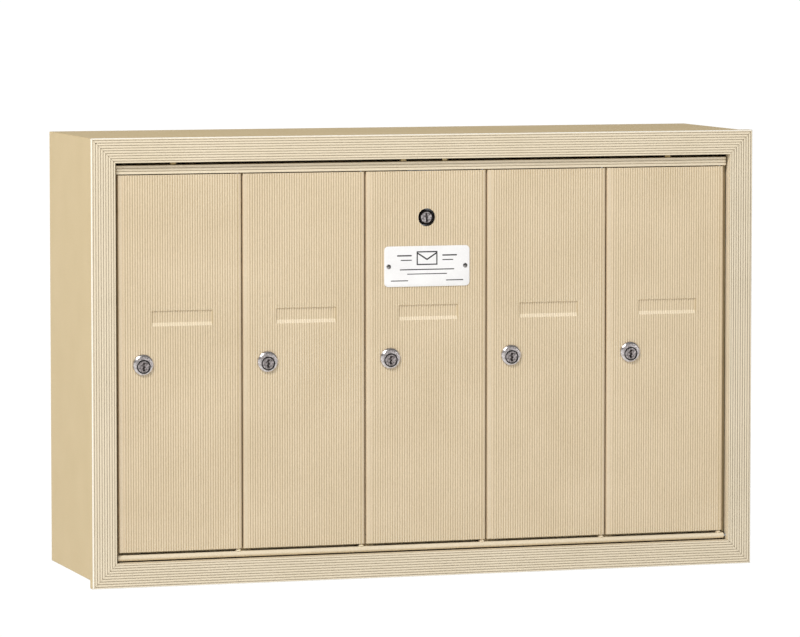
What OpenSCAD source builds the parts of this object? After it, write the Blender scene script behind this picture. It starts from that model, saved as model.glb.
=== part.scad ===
// Wall mounted apartment mailbox unit: five upright doors on a tilting front panel, in a sheet case.
// X runs to the right, Y runs into the wall, Z runs up. The wall plane is Y = 0, the front is at
// Y = -unit_d, and Z = 0 is the middle of the height. Millimetres throughout.

/* [Overall] */
// Width over the trim frame
unit_w = 730; // [600:1:900]
// Height over the trim frame
unit_h = 468; // [380:1:600]
// Depth from the wall to the face of the trim
unit_d = 200; // [150:1:260]

/* [Trim frame] */
// Width of the trim's face
trim_face = 26; // [24:0.5:40]
// Depth of the trim's outer and inner lips
trim_lip = 12; // [8:0.5:16]
// Wall of the trim extrusion
trim_wall = 2; // [1.4:0.1:3]
// Spacing of the grooves in the trim's face
trim_pitch = 2.7; // [2:0.1:2.8]
// Depth of the grooves in trim, rail and doors
groove_d = 0.7; // [0.2:0.1:0.8]

/* [Case] */
// How far the case's sides stand in from the trim's outside edge
case_inset = 3.8; // [3:0.1:8]
// How far the case's top lies under the trim's top edge
case_inset_top = 0.8; // [0:0.1:4]
// How far the case's bottom lies over the trim's bottom edge
case_inset_low = 6.2; // [3:0.1:8]
// Thickness of the case sheet
case_sheet = 1.5; // [1:0.1:2.5]
// Width of the case's front flanges
front_flange = 18.7; // [16:0.1:22]
// Width of the case's rear flanges
rear_flange = 14; // [10:0.5:20]

/* [Wall bolts] */
// Distance between the wall bolts across the unit
bolt_span_x = 560; // [300:1:560]
// Distance between the wall bolts up the unit
bolt_span_z = 300; // [150:1:320]
// Diameter of the wall bolt holes
bolt_hole_d = 7; // [5:0.5:10]

/* [Front panel] */
// How far the panel's face lies behind the trim's face
recess = 6; // [4:0.5:8]
// Gap between the doors and the trim at each side
side_gap = 3.5; // [3:0.1:6]
// Gap between the end plates and the trim at each side
end_gap = 2.5; // [2:0.1:4]
// Gap between the top rail and the trim
top_gap = 2.8; // [2:0.1:5]
// Gap between the hinge bead and the trim
bead_gap = 1.4; // [1:0.1:3]
// Height of the top rail
rail_h = 9.2; // [8:0.1:16]
// Depth of the rails, from their face to their back
rail_d = 9; // [8.6:0.1:12]
// Diameter of the hinge bead along the bottom
bead_d = 6.2; // [6:0.1:8]
// Thickness of the dividers, end plates, floor and rear wall
plate_t = 1.2; // [0.8:0.1:2]
// Width of the strike flanges at the front of the dividers
strike_w = 10; // [8:0.5:12]
// Space behind the end plates
rear_space = 31; // [25:1:45]
// Angle that the panel tilts out by
tilt_max = 22; // [15:1:25]
// Diameter of the panel's pivot pins
tilt_pin_d = 3; // [2.5:0.1:3.4]

/* [Doors] */
// Gap between two doors
seam = 1.4; // [1.2:0.1:3]
// Thickness of the door's face
door_skin = 2.4; // [2:0.1:3]
// Gap under a door
door_gap_low = 2.8; // [2:0.1:4]
// Gap over a door
door_gap_top = 1; // [0.6:0.1:2]
// Spacing of the ribs on a door
rib_pitch = 2.68; // [2:0.01:4]
// Plain strip beside the ribs at each edge of a door
rib_margin = 4.5; // [4:0.1:10]
// Diameter of the door's pivot pins
door_pin_d = 2.4; // [2:0.1:3]
// Gap between the back of a closed door and the strike flange
strike_gap = 0.4; // [0.3:0.1:0.8]

/* [Name recess] */
// Width of the name recess
name_w = 65.3; // [40:0.1:80]
// Height of the name recess
name_h = 16.2; // [10:0.1:25]
// Depth of the name recess
name_d = 1.2; // [0.6:0.1:1.6]
// Height of the slope along the recess's lower edge
name_ramp = 3.8; // [1:0.1:6]
// Distance from the door's top to the recess's centre
name_drop = 149.2; // [100:0.1:180]
// Distance of the recess's centre to the right of the door's centre
name_shift = 1.6; // [-5:0.1:5]

/* [Tenant locks] */
// Diameter of the lock's face
lock_face_d = 22.2; // [20:0.1:24]
// How far the lock's face stands out from the door
lock_face_h = 3; // [1.5:0.1:5]
// Diameter of the lock's barrel
lock_barrel_d = 19; // [16:0.1:19.5]
// Distance from the door's free edge to the lock
lock_inset = 26; // [25:0.1:35]
// Distance from the door's top to the lock
lock_drop = 197; // [150:0.1:220]
// Diameter of the lock's plug
plug_d = 12.7; // [10:0.1:13]
// How far the plug's axis lies below the lock's axis
plug_drop = 1.8; // [0:0.1:2]
// Reach of the cam from the plug's axis
cam_reach = 24; // [22:0.1:24]
// Width of the cam
cam_w = 12; // [10:0.5:14]

/* [Label plate] */
// Width of the label plate
plate_w = 94.3; // [60:0.1:100]
// Height of the label plate
plate_h = 42.8; // [30:0.1:50]
// Radius of the label plate's corners
plate_r = 4.5; // [2:0.1:8]
// Distance from the door's top to the plate's centre
plate_drop = 100.4; // [90:0.1:104]
// Distance between the plate's two rivets
rivet_span = 84.6; // [50:0.1:86]

/* [Carrier lock] */
// Distance from the door's top to the carrier lock
carrier_drop = 49; // [44:0.1:56]
// Diameter of the clearance hole in the middle door
carrier_hole_d = 19; // [17:0.1:22]
// Diameter of the carrier lock's nose
nose_d = 15.6; // [14:0.1:16]
// Height of the carrier lock's case
carrier_case = 44; // [40:1:50]
// Travel of the carrier lock's bolt
bolt_throw = 10; // [8:0.1:10]

/* [Hidden] */
$fn = 64;
DOORS = 5;

// Fits
fixed_fit = 0.02;
running_fit = 0.05;
thin_gap = 0.3;
cut = 1;

// Colours
sandstone = "#DCCBA9";
nickel = "#C9CACB";
zinc = "#A9ADB0";
white_print = "#F0F0EC";

// Trim frame
face_y = -unit_d;
lip_y = face_y + trim_lip;
open_w = unit_w - 2 * trim_face;
open_h = unit_h - 2 * trim_face;
trim_grooves = floor((trim_face - 2 * trim_wall) / trim_pitch) + 1;
groove_edge = (trim_face - (trim_grooves - 1) * trim_pitch) / 2;
edge_chamfer = 1.2;
mitre_gap = 0.1;
boss_in = 10;
boss_w = 6;
boss_mid = boss_in + boss_w / 2;

// Case
case_w = unit_w - 2 * case_inset;
case_top = unit_h / 2 - case_inset_top;
case_low = -unit_h / 2 + case_inset_low;
case_front = lip_y + 0.5;
in_x = case_w / 2 - case_sheet;
in_top = case_top - case_sheet;
in_low = case_low + case_sheet;
flange_back = case_front + case_sheet;
flange_edge = unit_h / 2 - case_inset - front_flange;
rivet_r = 1.6;
rivet_head_r = 3.2;
rivet_head_t = 1.2;
rear_flange_y = -2 * case_sheet;

// Screws that hold the trim to the case
screw_r = 1.5;
screw_head_r = 3;
screw_head_t = 2;
screw_in = 8;
screw_xs = [for (s = [-1, 1], d = [45, 215]) s * (unit_w / 2 - d)];
screw_zs = [for (s = [-1, 1]) s * (unit_h / 2 - 124)];

// Front panel
panel_y = face_y + recess;
rail_back = panel_y + rail_d;
axis_y = panel_y + bead_d / 2;
axis_z = -open_h / 2 + bead_gap + bead_d / 2;
bead_top = axis_z + bead_d / 2;
foot_low = axis_z - 2.5;
rail_top = open_h / 2 - top_gap;
rail_low = rail_top - rail_h;
panel_half = open_w / 2 - end_gap;
plate_front = rail_back + plate_t;
floor_low = bead_top + 0.4;
floor_top = floor_low + plate_t;
plates_rear = -rear_space;
panel_rivet_in = 2.6;

// The strips beside the outer doors, which close the view into the case
jamb_gap = 0.8;
jamb_x = open_w / 2 - jamb_gap;
jamb_d = 3.2;

// The panel swings inside the trim's opening on a circle about the bead
swing_r = open_h / 2 - axis_z - 2.5;
stop_r = 3;
stop_edge = 7;
stop_len = in_x - front_flange + case_sheet + 4.5 - panel_half;
stop_reach = flange_back - axis_y + stop_r + thin_gap;
rear_y = plates_rear - axis_y;
swing_margin = 14.4;
stop_z = min(sqrt(swing_r * swing_r - rear_y * rear_y) - swing_margin - stop_edge,
    ((rear_y - stop_edge) * cos(tilt_max) - stop_reach) / sin(tilt_max));
stop_y = (stop_reach + stop_z * sin(tilt_max)) / cos(tilt_max);
rear_top = axis_z + stop_z + stop_edge;
front_top = rail_top - 2.2;
pocket_rear = plates_rear - 6;
pocket_top = rear_top - 12;

// Doors
pitch = (open_w - 2 * side_gap) / DOORS;
door_w = pitch - seam;
barrel_r = 4;
pivot_y = panel_y + barrel_r;
door_low = bead_top + door_gap_low;
door_top = rail_low - door_gap_top;
door_back = rail_back - strike_gap;
lip_t = 1.6;
ribs = floor((door_w - 2 * rib_margin) / rib_pitch);
rib_start = (door_w - ribs * rib_pitch) / 2;
door_pin_r = door_pin_d / 2;
door_pin_in = 8;
cone_r = 3.25;
pin_sink = 1.2;
top_head_r = 2.2;

// Tenant locks
lock_z = door_top - lock_drop;
plug_z = lock_z - plug_drop;
lock_front = panel_y - lock_face_h;
barrel_rear = rail_back + plate_t + 0.2;
nut_t = 3;
nut_flats = 24;
tail_w = 6;
cam_t = 1.5;
cam_front = plate_front + 1;
cam_back = cam_front + cam_t;
cam_screw_r = 1.6;
cam_screw_head_r = 3.6;
cam_screw_head_t = 2;

// Carrier lock
carrier_z = door_top - carrier_drop;
bracket_w = 38;
bracket_low = carrier_z - carrier_case / 2;
case_front_y = rail_back + case_sheet;
carrier_case_w = 36;
carrier_case_d = 15.5;
carrier_back = case_front_y + carrier_case_d;
nose_front = panel_y + 0.8;
carrier_plug_r = 6.2;
crank_front = case_front_y + 1.5;
crank_back = crank_front + 2;
crank_rad = bolt_throw / 2 * sqrt(2);
crank_disc_r = crank_rad + 2.2;
crank_pin_r = 1.5;
slot_play = 0.5;
bolt_front = crank_back + 0.8;
bolt_t = 2;
bolt_back = bolt_front + bolt_t;
bolt_w = 24;
neck_w = 12;
bolt_low = carrier_z - bolt_throw / 2 - 6;
bolt_shoulder = carrier_z + 8;
bolt_top = front_top + 1;
bracket_screw_x = 12;
bracket_screw_z = rail_low + rail_h / 2;
bracket_screw_in = 4;
case_screw_x = 15;
case_screw_z = carrier_case / 2 - 3;

// Strike and closing stops
strike_half = 9;
strike_y = bolt_back - bolt_t - 1.3;
strike_low = open_h / 2 + case_sheet;
stop_half = 3;
stop_front = rail_back + thin_gap + 0.1;
stop_low = rail_top - 3.2;
stop_bend = flange_edge + 2;
stop_high = stop_bend + 12;
stop_xs = concat([-23, 23], [for (s = [-1, 1]) s * (pitch * 2 + 5)]);

// Label plate
label_z = door_top - plate_drop;
label_t = 0.8;
label_rivet_r = 1.5;
label_head_r = 2.5;
label_head_t = 0.9;

// Places that repeat
function seam_x(i) = (i - DOORS / 2) * pitch;
function door_left(i) = seam_x(i - 1) + seam / 2;
function door_mid(i) = seam_x(i - 0.5);
function pivot_x(i) = seam_x(i) - seam / 2 - barrel_r;
function lock_x(i) = door_left(i) + lock_inset;

// ---- Shapes that repeat ----

// A block between two corners
module block(low, high) {
    translate(low)
        cube(high - low);
}

// A round bar along Y, from y0 to y1
module bar_y(x, z, y0, y1, r) {
    translate([x, y1, z])
        rotate([90, 0, 0])
            cylinder(h = y1 - y0, r = r);
}

// A round bar along X, from x0 to x1
module bar_x(y, z, x0, x1, r) {
    translate([x0, y, z])
        rotate([0, 90, 0])
            cylinder(h = x1 - x0, r = r);
}

// A round bar along Z, from z0 to z1
module bar_z(x, y, z0, z1, r) {
    translate([x, y, z0])
        cylinder(h = z1 - z0, r = r);
}

// A section drawn in Y and Z, carried along X from x0 to x1
module along_x(x0, x1) {
    translate([x0, 0, 0])
        rotate([90, 0, 90])
            linear_extrude(x1 - x0)
                children();
}

// An outline drawn in X and Z, as thick as y0 to y1
module along_y(y0, y1) {
    translate([0, y1, 0])
        rotate([90, 0, 0])
            linear_extrude(y1 - y0)
                children();
}

// A V groove's three points across u, cut inwards from v
function groove(u, v, half, sign) = [[u - half, v], [u, v + sign * groove_d], [u + half, v]];

// ---- Case ----

module wall_holes() {
    for (x = [-1, 1], z = [-1, 1])
        bar_y(x * bolt_span_x / 2, z * bolt_span_z / 2, -case_sheet - cut, cut, bolt_hole_d / 2);
}

function rivet_places() = concat(
    [for (x = [-1, 0, 1], z = [in_low + rear_flange / 2, in_top - rear_flange / 2]) [x * case_w / 3, z]],
    [for (x = [-1, 1], z = [-1, 0, 1]) [x * (in_x - rear_flange / 2), z * unit_h / 4]]);

module rivet_holes(r) {
    for (p = rivet_places())
        bar_y(p[0], p[1], rear_flange_y - cut, cut, r);
}

module back_panel() {
    color(sandstone)
        difference() {
            block([-in_x, -case_sheet, in_low], [in_x, 0, in_top]);
            wall_holes();
            rivet_holes(rivet_r + fixed_fit);
        }
}

module side_panel(side) {
    color(sandstone)
        difference() {
            mirror([side < 0 ? 1 : 0, 0, 0])
                translate([0, 0, case_low])
                    linear_extrude(case_top - case_low)
                        polygon([
                            [case_w / 2, 0], [in_x, 0], [in_x, -case_sheet],
                            [in_x - rear_flange, -case_sheet], [in_x - rear_flange, rear_flange_y],
                            [in_x, rear_flange_y], [in_x, flange_back],
                            [in_x - front_flange + case_sheet, flange_back],
                            [in_x - front_flange + case_sheet, case_front],
                            [case_w / 2, case_front]]);
            block([-in_x, case_front - cut, case_low - cut], [in_x, cut, in_low]);
            block([-in_x, case_front - cut, in_top], [in_x, cut, case_top + cut]);
            rivet_holes(rivet_r + fixed_fit);
            trim_screw_holes();
        }
}

// The top and bottom panels fit between the side panels, and their flanges between the side flanges
module level_panel(side) {
    flange_x = in_x - front_flange + case_sheet;
    rear_x = in_x - rear_flange;
    inner = side < 0 ? -in_low : in_top;
    color(sandstone)
        difference() {
            mirror([0, 0, side < 0 ? 1 : 0])
                union() {
                    block([-in_x, case_front, inner], [in_x, 0, inner + case_sheet]);
                    block([-flange_x, case_front, flange_edge], [flange_x, flange_back, inner]);
                    block([-rear_x, rear_flange_y, inner - rear_flange], [rear_x, -case_sheet, inner]);
                }
            rivet_holes(rivet_r + fixed_fit);
            trim_screw_holes();
        }
}

module case_rivets() {
    color(zinc)
        for (p = rivet_places()) {
            bar_y(p[0], p[1], rear_flange_y, 0, rivet_r);
            bar_y(p[0], p[1], rear_flange_y - rivet_head_t, rear_flange_y, rivet_head_r);
        }
}

// ---- Trim frame ----

// The trim's section: u runs in from the outside edge, v runs back from the face
function trim_section() = concat(
    [[0, trim_lip], [0, edge_chamfer], [edge_chamfer, 0]],
    [for (k = [0:trim_grooves - 1], p = groove(groove_edge + k * trim_pitch, 0, 0.6, 1)) p],
    [[trim_face, 0], [trim_face, trim_lip], [trim_face - trim_wall, trim_lip],
     [trim_face - trim_wall, trim_wall], [boss_in + boss_w, trim_wall],
     [boss_in + boss_w, trim_lip + 0.5], [boss_in, trim_lip + 0.5], [boss_in, trim_wall],
     [trim_wall, trim_wall], [trim_wall, trim_lip]]);

// One trim piece along X at the top, as long as len, cut to mitres
module trim_piece(len, across) {
    intersection() {
        translate([0, face_y, across / 2])
            rotate([90, 0, 90])
                linear_extrude(len, center = true)
                    polygon([for (p = trim_section()) [p[1], -p[0]]]);
        along_y(face_y - cut, lip_y + cut)
            polygon([[-len / 2 + mitre_gap, across / 2], [len / 2 - mitre_gap, across / 2],
                [len / 2 - mitre_gap - trim_face, across / 2 - trim_face],
                [-len / 2 + mitre_gap + trim_face, across / 2 - trim_face]]);
    }
}

module trim_level(side) {
    color(sandstone)
        difference() {
            mirror([0, 0, side < 0 ? 1 : 0])
                trim_piece(unit_w, unit_h);
            trim_screw_bores(screw_r + fixed_fit);
        }
}

module trim_upright(side) {
    color(sandstone)
        difference() {
            rotate([0, side * 90, 0])
                trim_piece(unit_h, unit_w);
            trim_screw_bores(screw_r + fixed_fit);
            bar_x(axis_y, axis_z, side < 0 ? -open_w / 2 - trim_wall - cut : open_w / 2 - cut,
                side < 0 ? -open_w / 2 + cut : open_w / 2 + trim_wall + cut,
                tilt_pin_d / 2 + fixed_fit);
        }
}

function trim_screw_places() = concat(
    [for (x = screw_xs, z = [-1, 1]) [x, z * (unit_h / 2 - boss_mid)]],
    [for (x = [-1, 1], z = screw_zs) [x * (unit_w / 2 - boss_mid), z]]);

module trim_screw_bores(r) {
    for (p = trim_screw_places())
        bar_y(p[0], p[1], case_front - screw_in, case_front + cut, r);
}

module trim_screw_holes() {
    for (p = trim_screw_places())
        bar_y(p[0], p[1], case_front - cut, flange_back + cut, screw_r + fixed_fit);
}

module trim_screws() {
    color(zinc)
        for (p = trim_screw_places())
            difference() {
                union() {
                    bar_y(p[0], p[1], case_front - screw_in + fixed_fit, flange_back, screw_r);
                    bar_y(p[0], p[1], flange_back, flange_back + screw_head_t, screw_head_r);
                }
                block([p[0] - screw_head_r, flange_back + screw_head_t / 2, p[1] - 0.4],
                    [p[0] + screw_head_r, flange_back + screw_head_t + cut, p[1] + 0.4]);
            }
}

// Flat angles behind the mitres, beside the screw boss
module corner_keys() {
    key_in = trim_wall + 1;
    key_w = 6;
    key_len = 30;
    x1 = unit_w / 2 - key_in;
    z1 = unit_h / 2 - key_in;
    color(zinc)
        for (x = [0, 1], z = [0, 1])
            mirror([x, 0, 0])
                mirror([0, 0, z])
                    along_y(face_y + trim_wall, face_y + trim_wall + 2.5)
                        polygon([[x1, z1], [x1 - key_len, z1], [x1 - key_len, z1 - key_w],
                            [x1 - key_w, z1 - key_w], [x1 - key_w, z1 - key_len],
                            [x1, z1 - key_len]]);
}

module panel_pivot_pins() {
    color(zinc)
        for (x = [0, 1])
            mirror([x, 0, 0]) {
                bar_x(axis_y, axis_z, panel_half - 4, open_w / 2 + trim_wall, tilt_pin_d / 2);
                bar_x(axis_y, axis_z, open_w / 2 + trim_wall, open_w / 2 + trim_wall + 1.6,
                    tilt_pin_d / 2 + 1);
            }
}

// ---- Strike for the carrier's bolt, and the stops that the closed panel leans on ----

module strike_bracket() {
    color(zinc)
        along_x(-strike_half, strike_half)
            polygon([[strike_y, strike_low], [strike_y, in_top], [flange_back, in_top],
                [flange_back, in_top - case_sheet], [strike_y - case_sheet, in_top - case_sheet],
                [strike_y - case_sheet, strike_low]]);
}

module closing_stops() {
    color(zinc)
        for (x = stop_xs)
            along_x(x - stop_half, x + stop_half)
                polygon([[flange_back, stop_high], [flange_back, stop_bend],
                    [stop_front, stop_bend - 3], [stop_front, stop_low],
                    [stop_front + case_sheet, stop_low], [stop_front + case_sheet, stop_bend - 2.2],
                    [flange_back + case_sheet, stop_bend + 0.8], [flange_back + case_sheet, stop_high]]);
}

// ---- Tilting front panel ----

module top_rail() {
    third = rail_h / 3;
    color(sandstone)
        difference() {
            along_x(-panel_half, panel_half)
                polygon(concat(
                    [[rail_back, rail_low], [rail_back, rail_top], [panel_y + 0.6, rail_top],
                     [panel_y, rail_top - 0.6]],
                    [for (k = [2, 1], s = [1, 0, -1])
                        [panel_y + (s == 0 ? groove_d : 0), rail_low + k * third + s * 0.6]],
                    [[panel_y, rail_low]]));
            for (i = [1:DOORS]) {
                bar_z(pivot_x(i), pivot_y, rail_low - cut, rail_top + cut, door_pin_r + fixed_fit);
                bar_z(pivot_x(i), pivot_y, rail_top - pin_sink, rail_top + cut,
                    top_head_r + fixed_fit);
            }
            panel_rivet_bores(rail_low + rail_h / 2);
            for (x = [-1, 1])
                bar_y(x * bracket_screw_x, bracket_screw_z, rail_back - bracket_screw_in, rail_back + cut,
                    screw_r + fixed_fit);
        }
}

module bottom_rail() {
    color(sandstone)
        difference() {
            along_x(-panel_half, panel_half) {
                translate([axis_y, axis_z])
                    circle(d = bead_d);
                translate([axis_y, foot_low])
                    square([rail_back - axis_y, bead_top - foot_low]);
            }
            for (x = [0, 1])
                mirror([x, 0, 0])
                    bar_x(axis_y, axis_z, panel_half - 4.2, panel_half + cut,
                        tilt_pin_d / 2 + running_fit);
            for (i = [1:DOORS])
                bar_z(pivot_x(i), pivot_y, bead_top - 3, bead_top + cut, door_pin_r + fixed_fit);
            panel_rivet_bores((foot_low + bead_top) / 2);
        }
}

// Where a plate's front flange is riveted to the rails
function flange_mid(i) = i == DOORS ? panel_half - strike_w / 2 - plate_t
    : (i == 0 ? -panel_half : seam_x(i) - plate_t / 2) + plate_t + strike_w / 2;

module panel_rivet_bores(z) {
    for (i = [0:DOORS])
        bar_y(flange_mid(i), z, rail_back - panel_rivet_in, rail_back + cut, rivet_r + fixed_fit);
}

module panel_rivets() {
    color(zinc)
        for (i = [0:DOORS], z = [rail_low + rail_h / 2, (foot_low + bead_top) / 2]) {
            bar_y(flange_mid(i), z, rail_back - panel_rivet_in + fixed_fit, plate_front, rivet_r);
            bar_y(flange_mid(i), z, plate_front, plate_front + rivet_head_t, rivet_head_r - 0.8);
        }
}

// A plate that stands between two pockets, from x0 to x1, with its flange on the side given
module pocket_plate(i, x0, x1, rear, rear_z, side) {
    difference() {
        union() {
            along_x(x0, x1)
                polygon([[rail_back, floor_top], [rear, floor_top], [rear, rear_z],
                    [plate_front, front_top], [rail_back, front_top]]);
            block([side > 0 ? x0 : x0 - strike_w, rail_back, foot_low],
                [side > 0 ? x1 + strike_w : x1, plate_front, front_top]);
        }
        for (z = [rail_low + rail_h / 2, (foot_low + bead_top) / 2])
            bar_y(flange_mid(i), z, rail_back - cut, plate_front + cut, rivet_r + fixed_fit);
    }
}

module divider(i) {
    color(sandstone)
        pocket_plate(i, seam_x(i) - plate_t / 2, seam_x(i) + plate_t / 2, pocket_rear, pocket_top, 1);
}

// A strip beside an outer door, carried by its end plate
module jamb_strip() {
    door_edge = open_w / 2 - side_gap - seam / 2;
    z0 = bead_top + thin_gap;
    z1 = rail_low - thin_gap;
    block([panel_half - 1, rail_back, z0], [jamb_x, plate_front, z1]);
    block([door_edge + strike_gap, rail_back - jamb_d, z0], [jamb_x, plate_front, z1]);
}

module end_plate(side) {
    x0 = side < 0 ? -panel_half : panel_half - plate_t;
    color(sandstone)
        difference() {
            union() {
                pocket_plate(side < 0 ? 0 : DOORS, x0, x0 + plate_t, plates_rear, rear_top, -side);
                block([x0, plate_front, floor_low], [x0 + plate_t, plates_rear, floor_top]);
                mirror([side < 0 ? 1 : 0, 0, 0])
                    jamb_strip();
            }
            bar_x(axis_y + stop_y, axis_z + stop_z, x0 - cut, x0 + plate_t + cut,
                rivet_r + fixed_fit);
        }
}

module pocket_floor() {
    color(sandstone)
        block([-panel_half + plate_t, plate_front, floor_low],
            [panel_half - plate_t, pocket_rear + plate_t, floor_top]);
}

module pocket_back() {
    color(sandstone)
        block([-panel_half + plate_t, pocket_rear, floor_top],
            [panel_half - plate_t, pocket_rear + plate_t, pocket_top]);
}

module stop_studs() {
    color(zinc)
        for (x = [0, 1])
            mirror([x, 0, 0]) {
                bar_x(axis_y + stop_y, axis_z + stop_z, panel_half, panel_half + stop_len, stop_r);
                bar_x(axis_y + stop_y, axis_z + stop_z, panel_half - plate_t, panel_half, rivet_r);
                bar_x(axis_y + stop_y, axis_z + stop_z, panel_half - plate_t - rivet_head_t,
                    panel_half - plate_t, rivet_head_r);
            }
}

module door_pivot_pins() {
    color(zinc)
        for (i = [1:DOORS]) {
            translate([pivot_x(i), pivot_y, 0])
                rotate_extrude()
                    polygon([[0, bead_top - 3 + fixed_fit], [door_pin_r, bead_top - 3 + fixed_fit],
                        [door_pin_r, bead_top], [cone_r, bead_top], [cone_r, bead_top + 0.5],
                        [door_pin_r, door_low - thin_gap], [door_pin_r, door_low + door_pin_in],
                        [0, door_low + door_pin_in]]);
            bar_z(pivot_x(i), pivot_y, door_top - door_pin_in, rail_top - pin_sink, door_pin_r);
            bar_z(pivot_x(i), pivot_y, rail_top - pin_sink, rail_top, top_head_r);
        }
}

// ---- Doors ----

// The door's section seen from above: ribbed face, rear lip at the free edge, pivot barrel
function door_section(i) = let (x0 = door_left(i), x1 = pivot_x(i)) concat(
    [[x0, panel_y + 0.5], [x0 + 0.5, panel_y]],
    [for (k = [1:ribs - 1], p = groove(x0 + rib_start + k * rib_pitch, panel_y, 0.5, 1)) p],
    [[x1, panel_y], [x1, panel_y + door_skin], [x0 + lip_t, panel_y + door_skin],
     [x0 + lip_t, door_back], [x0, door_back]]);

module name_cut(i) {
    x0 = door_mid(i) + name_shift - name_w / 2;
    z0 = door_top - name_drop - name_h / 2;
    along_x(x0, x0 + name_w)
        polygon([[panel_y - cut, z0], [panel_y, z0], [panel_y + name_d, z0 + name_ramp],
            [panel_y + name_d, z0 + name_h], [panel_y - cut, z0 + name_h]]);
}

module door_panel(i) {
    middle = (DOORS + 1) / 2;
    color(sandstone)
        difference() {
            translate([0, 0, door_low])
                linear_extrude(door_top - door_low) {
                    polygon(door_section(i));
                    translate([pivot_x(i), pivot_y])
                        circle(r = barrel_r);
                }
            bar_z(pivot_x(i), pivot_y, door_low - cut, door_top + cut, door_pin_r + running_fit);
            name_cut(i);
            bar_y(lock_x(i), lock_z, panel_y - cut, door_back + cut, lock_barrel_d / 2 + fixed_fit);
            if (i == middle) {
                bar_y(0, carrier_z, panel_y - cut, door_back + cut, carrier_hole_d / 2);
                for (x = [-1, 1])
                    bar_y(x * rivet_span / 2, label_z, panel_y - cut, door_back,
                        label_rivet_r + fixed_fit);
            }
        }
}

// ---- Tenant locks ----

module lock_body(i) {
    r = lock_face_d / 2;
    color(nickel)
        difference() {
            translate([lock_x(i), barrel_rear, lock_z])
                rotate([90, 0, 0])
                    rotate_extrude()
                        polygon([[0, 0], [lock_barrel_d / 2, 0],
                            [lock_barrel_d / 2, barrel_rear - panel_y],
                            [r, barrel_rear - panel_y], [r, barrel_rear - lock_front - 1.6],
                            [r - 1.8, barrel_rear - lock_front], [0, barrel_rear - lock_front]]);
            bar_y(lock_x(i), plug_z, lock_front - cut, barrel_rear + cut, plug_d / 2 + running_fit);
            bar_y(lock_x(i), plug_z, lock_front - cut, lock_front + 0.8, plug_d / 2 + 0.7);
        }
}

module lock_nut(i) {
    y0 = panel_y + door_skin;
    color(zinc)
        difference() {
            translate([lock_x(i), y0 + nut_t, lock_z])
                rotate([90, 0, 0])
                    cylinder(h = nut_t, d = nut_flats / cos(30), $fn = 6);
            bar_y(lock_x(i), lock_z, y0 - cut, y0 + nut_t + cut, lock_barrel_d / 2 + fixed_fit);
        }
}

module lock_plug(i) {
    key_half = 0.8;
    key_tall = 4;
    key_deep = 6;
    color(nickel)
        difference() {
            union() {
                bar_y(lock_x(i), plug_z, lock_front + 0.3, barrel_rear + thin_gap, plug_d / 2);
                bar_y(lock_x(i), plug_z, barrel_rear + thin_gap, cam_front, tail_w / 2 + 1.5);
                block([lock_x(i) - tail_w / 2, cam_front, plug_z - tail_w / 2],
                    [lock_x(i) + tail_w / 2, cam_back, plug_z + tail_w / 2]);
            }
            block([lock_x(i) - key_half, lock_front - cut, plug_z - key_tall],
                [lock_x(i) + key_half, lock_front + key_deep, plug_z + key_tall]);
            bar_y(lock_x(i), plug_z, barrel_rear - 2, cam_back + cut, cam_screw_r + fixed_fit);
        }
}

// The cam hangs from the plug's square tail, with the screw that holds it as a second solid
module lock_cam(i) {
    hole = tail_w / 2 + fixed_fit;
    color(zinc) {
        difference() {
            along_y(cam_front, cam_back) {
                translate([lock_x(i), plug_z])
                    circle(d = cam_w + 2);
                translate([lock_x(i) - cam_w / 2, plug_z - cam_reach])
                    square([cam_w, cam_reach]);
            }
            block([lock_x(i) - hole, cam_front - cut, plug_z - hole],
                [lock_x(i) + hole, cam_back + cut, plug_z + hole]);
        }
        bar_y(lock_x(i), plug_z, barrel_rear - 2 + fixed_fit, cam_back + fixed_fit, cam_screw_r);
        bar_y(lock_x(i), plug_z, cam_back + fixed_fit, cam_back + cam_screw_head_t, cam_screw_head_r);
    }
}

// ---- Label plate on the middle door ----

module label_plate() {
    color(white_print)
        difference() {
            along_y(panel_y - label_t, panel_y) {
                square_r(plate_w, plate_h, plate_r, label_z);
            }
            for (x = [-1, 1])
                bar_y(x * rivet_span / 2, label_z, panel_y - label_t - cut, panel_y + cut,
                    label_rivet_r + fixed_fit);
        }
}

// A rectangle with round corners, centred on x = 0 and the height z
module square_r(w, h, r, z) {
    translate([0, z]) {
        square([w - 2 * r, h], center = true);
        square([w, h - 2 * r], center = true);
        for (x = [-1, 1], y = [-1, 1])
            translate([x * (w / 2 - r), y * (h / 2 - r)])
                circle(r = r);
    }
}

module label_rivets() {
    front = panel_y - label_t;
    tail = panel_y + door_skin;
    color(zinc)
        for (x = [-1, 1])
            translate([x * rivet_span / 2, tail + 1, label_z])
                rotate([90, 0, 0])
                    rotate_extrude()
                        polygon([[0, 0], [label_head_r, 0], [label_head_r, 1], [label_rivet_r, 1],
                            [label_rivet_r, tail + 1 - front], [label_head_r, tail + 1 - front],
                            [label_head_r - 0.8, tail + 1 - front + label_head_t],
                            [0, tail + 1 - front + label_head_t]]);
}

// ---- Carrier lock, on the panel behind the middle door ----

module carrier_lock_bracket() {
    color(zinc)
        difference() {
            block([-bracket_w / 2, rail_back, bracket_low], [bracket_w / 2, case_front_y, front_top]);
            bar_y(0, carrier_z, rail_back - cut, case_front_y + cut, nose_d / 2 + fixed_fit);
            for (x = [-1, 1]) {
                bar_y(x * bracket_screw_x, bracket_screw_z, rail_back - cut, case_front_y + cut,
                    screw_r + fixed_fit);
                for (z = [-1, 1])
                    bar_y(x * case_screw_x, carrier_z + z * case_screw_z, rail_back - cut,
                        case_front_y + cut, screw_r + fixed_fit);
            }
        }
}

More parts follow.
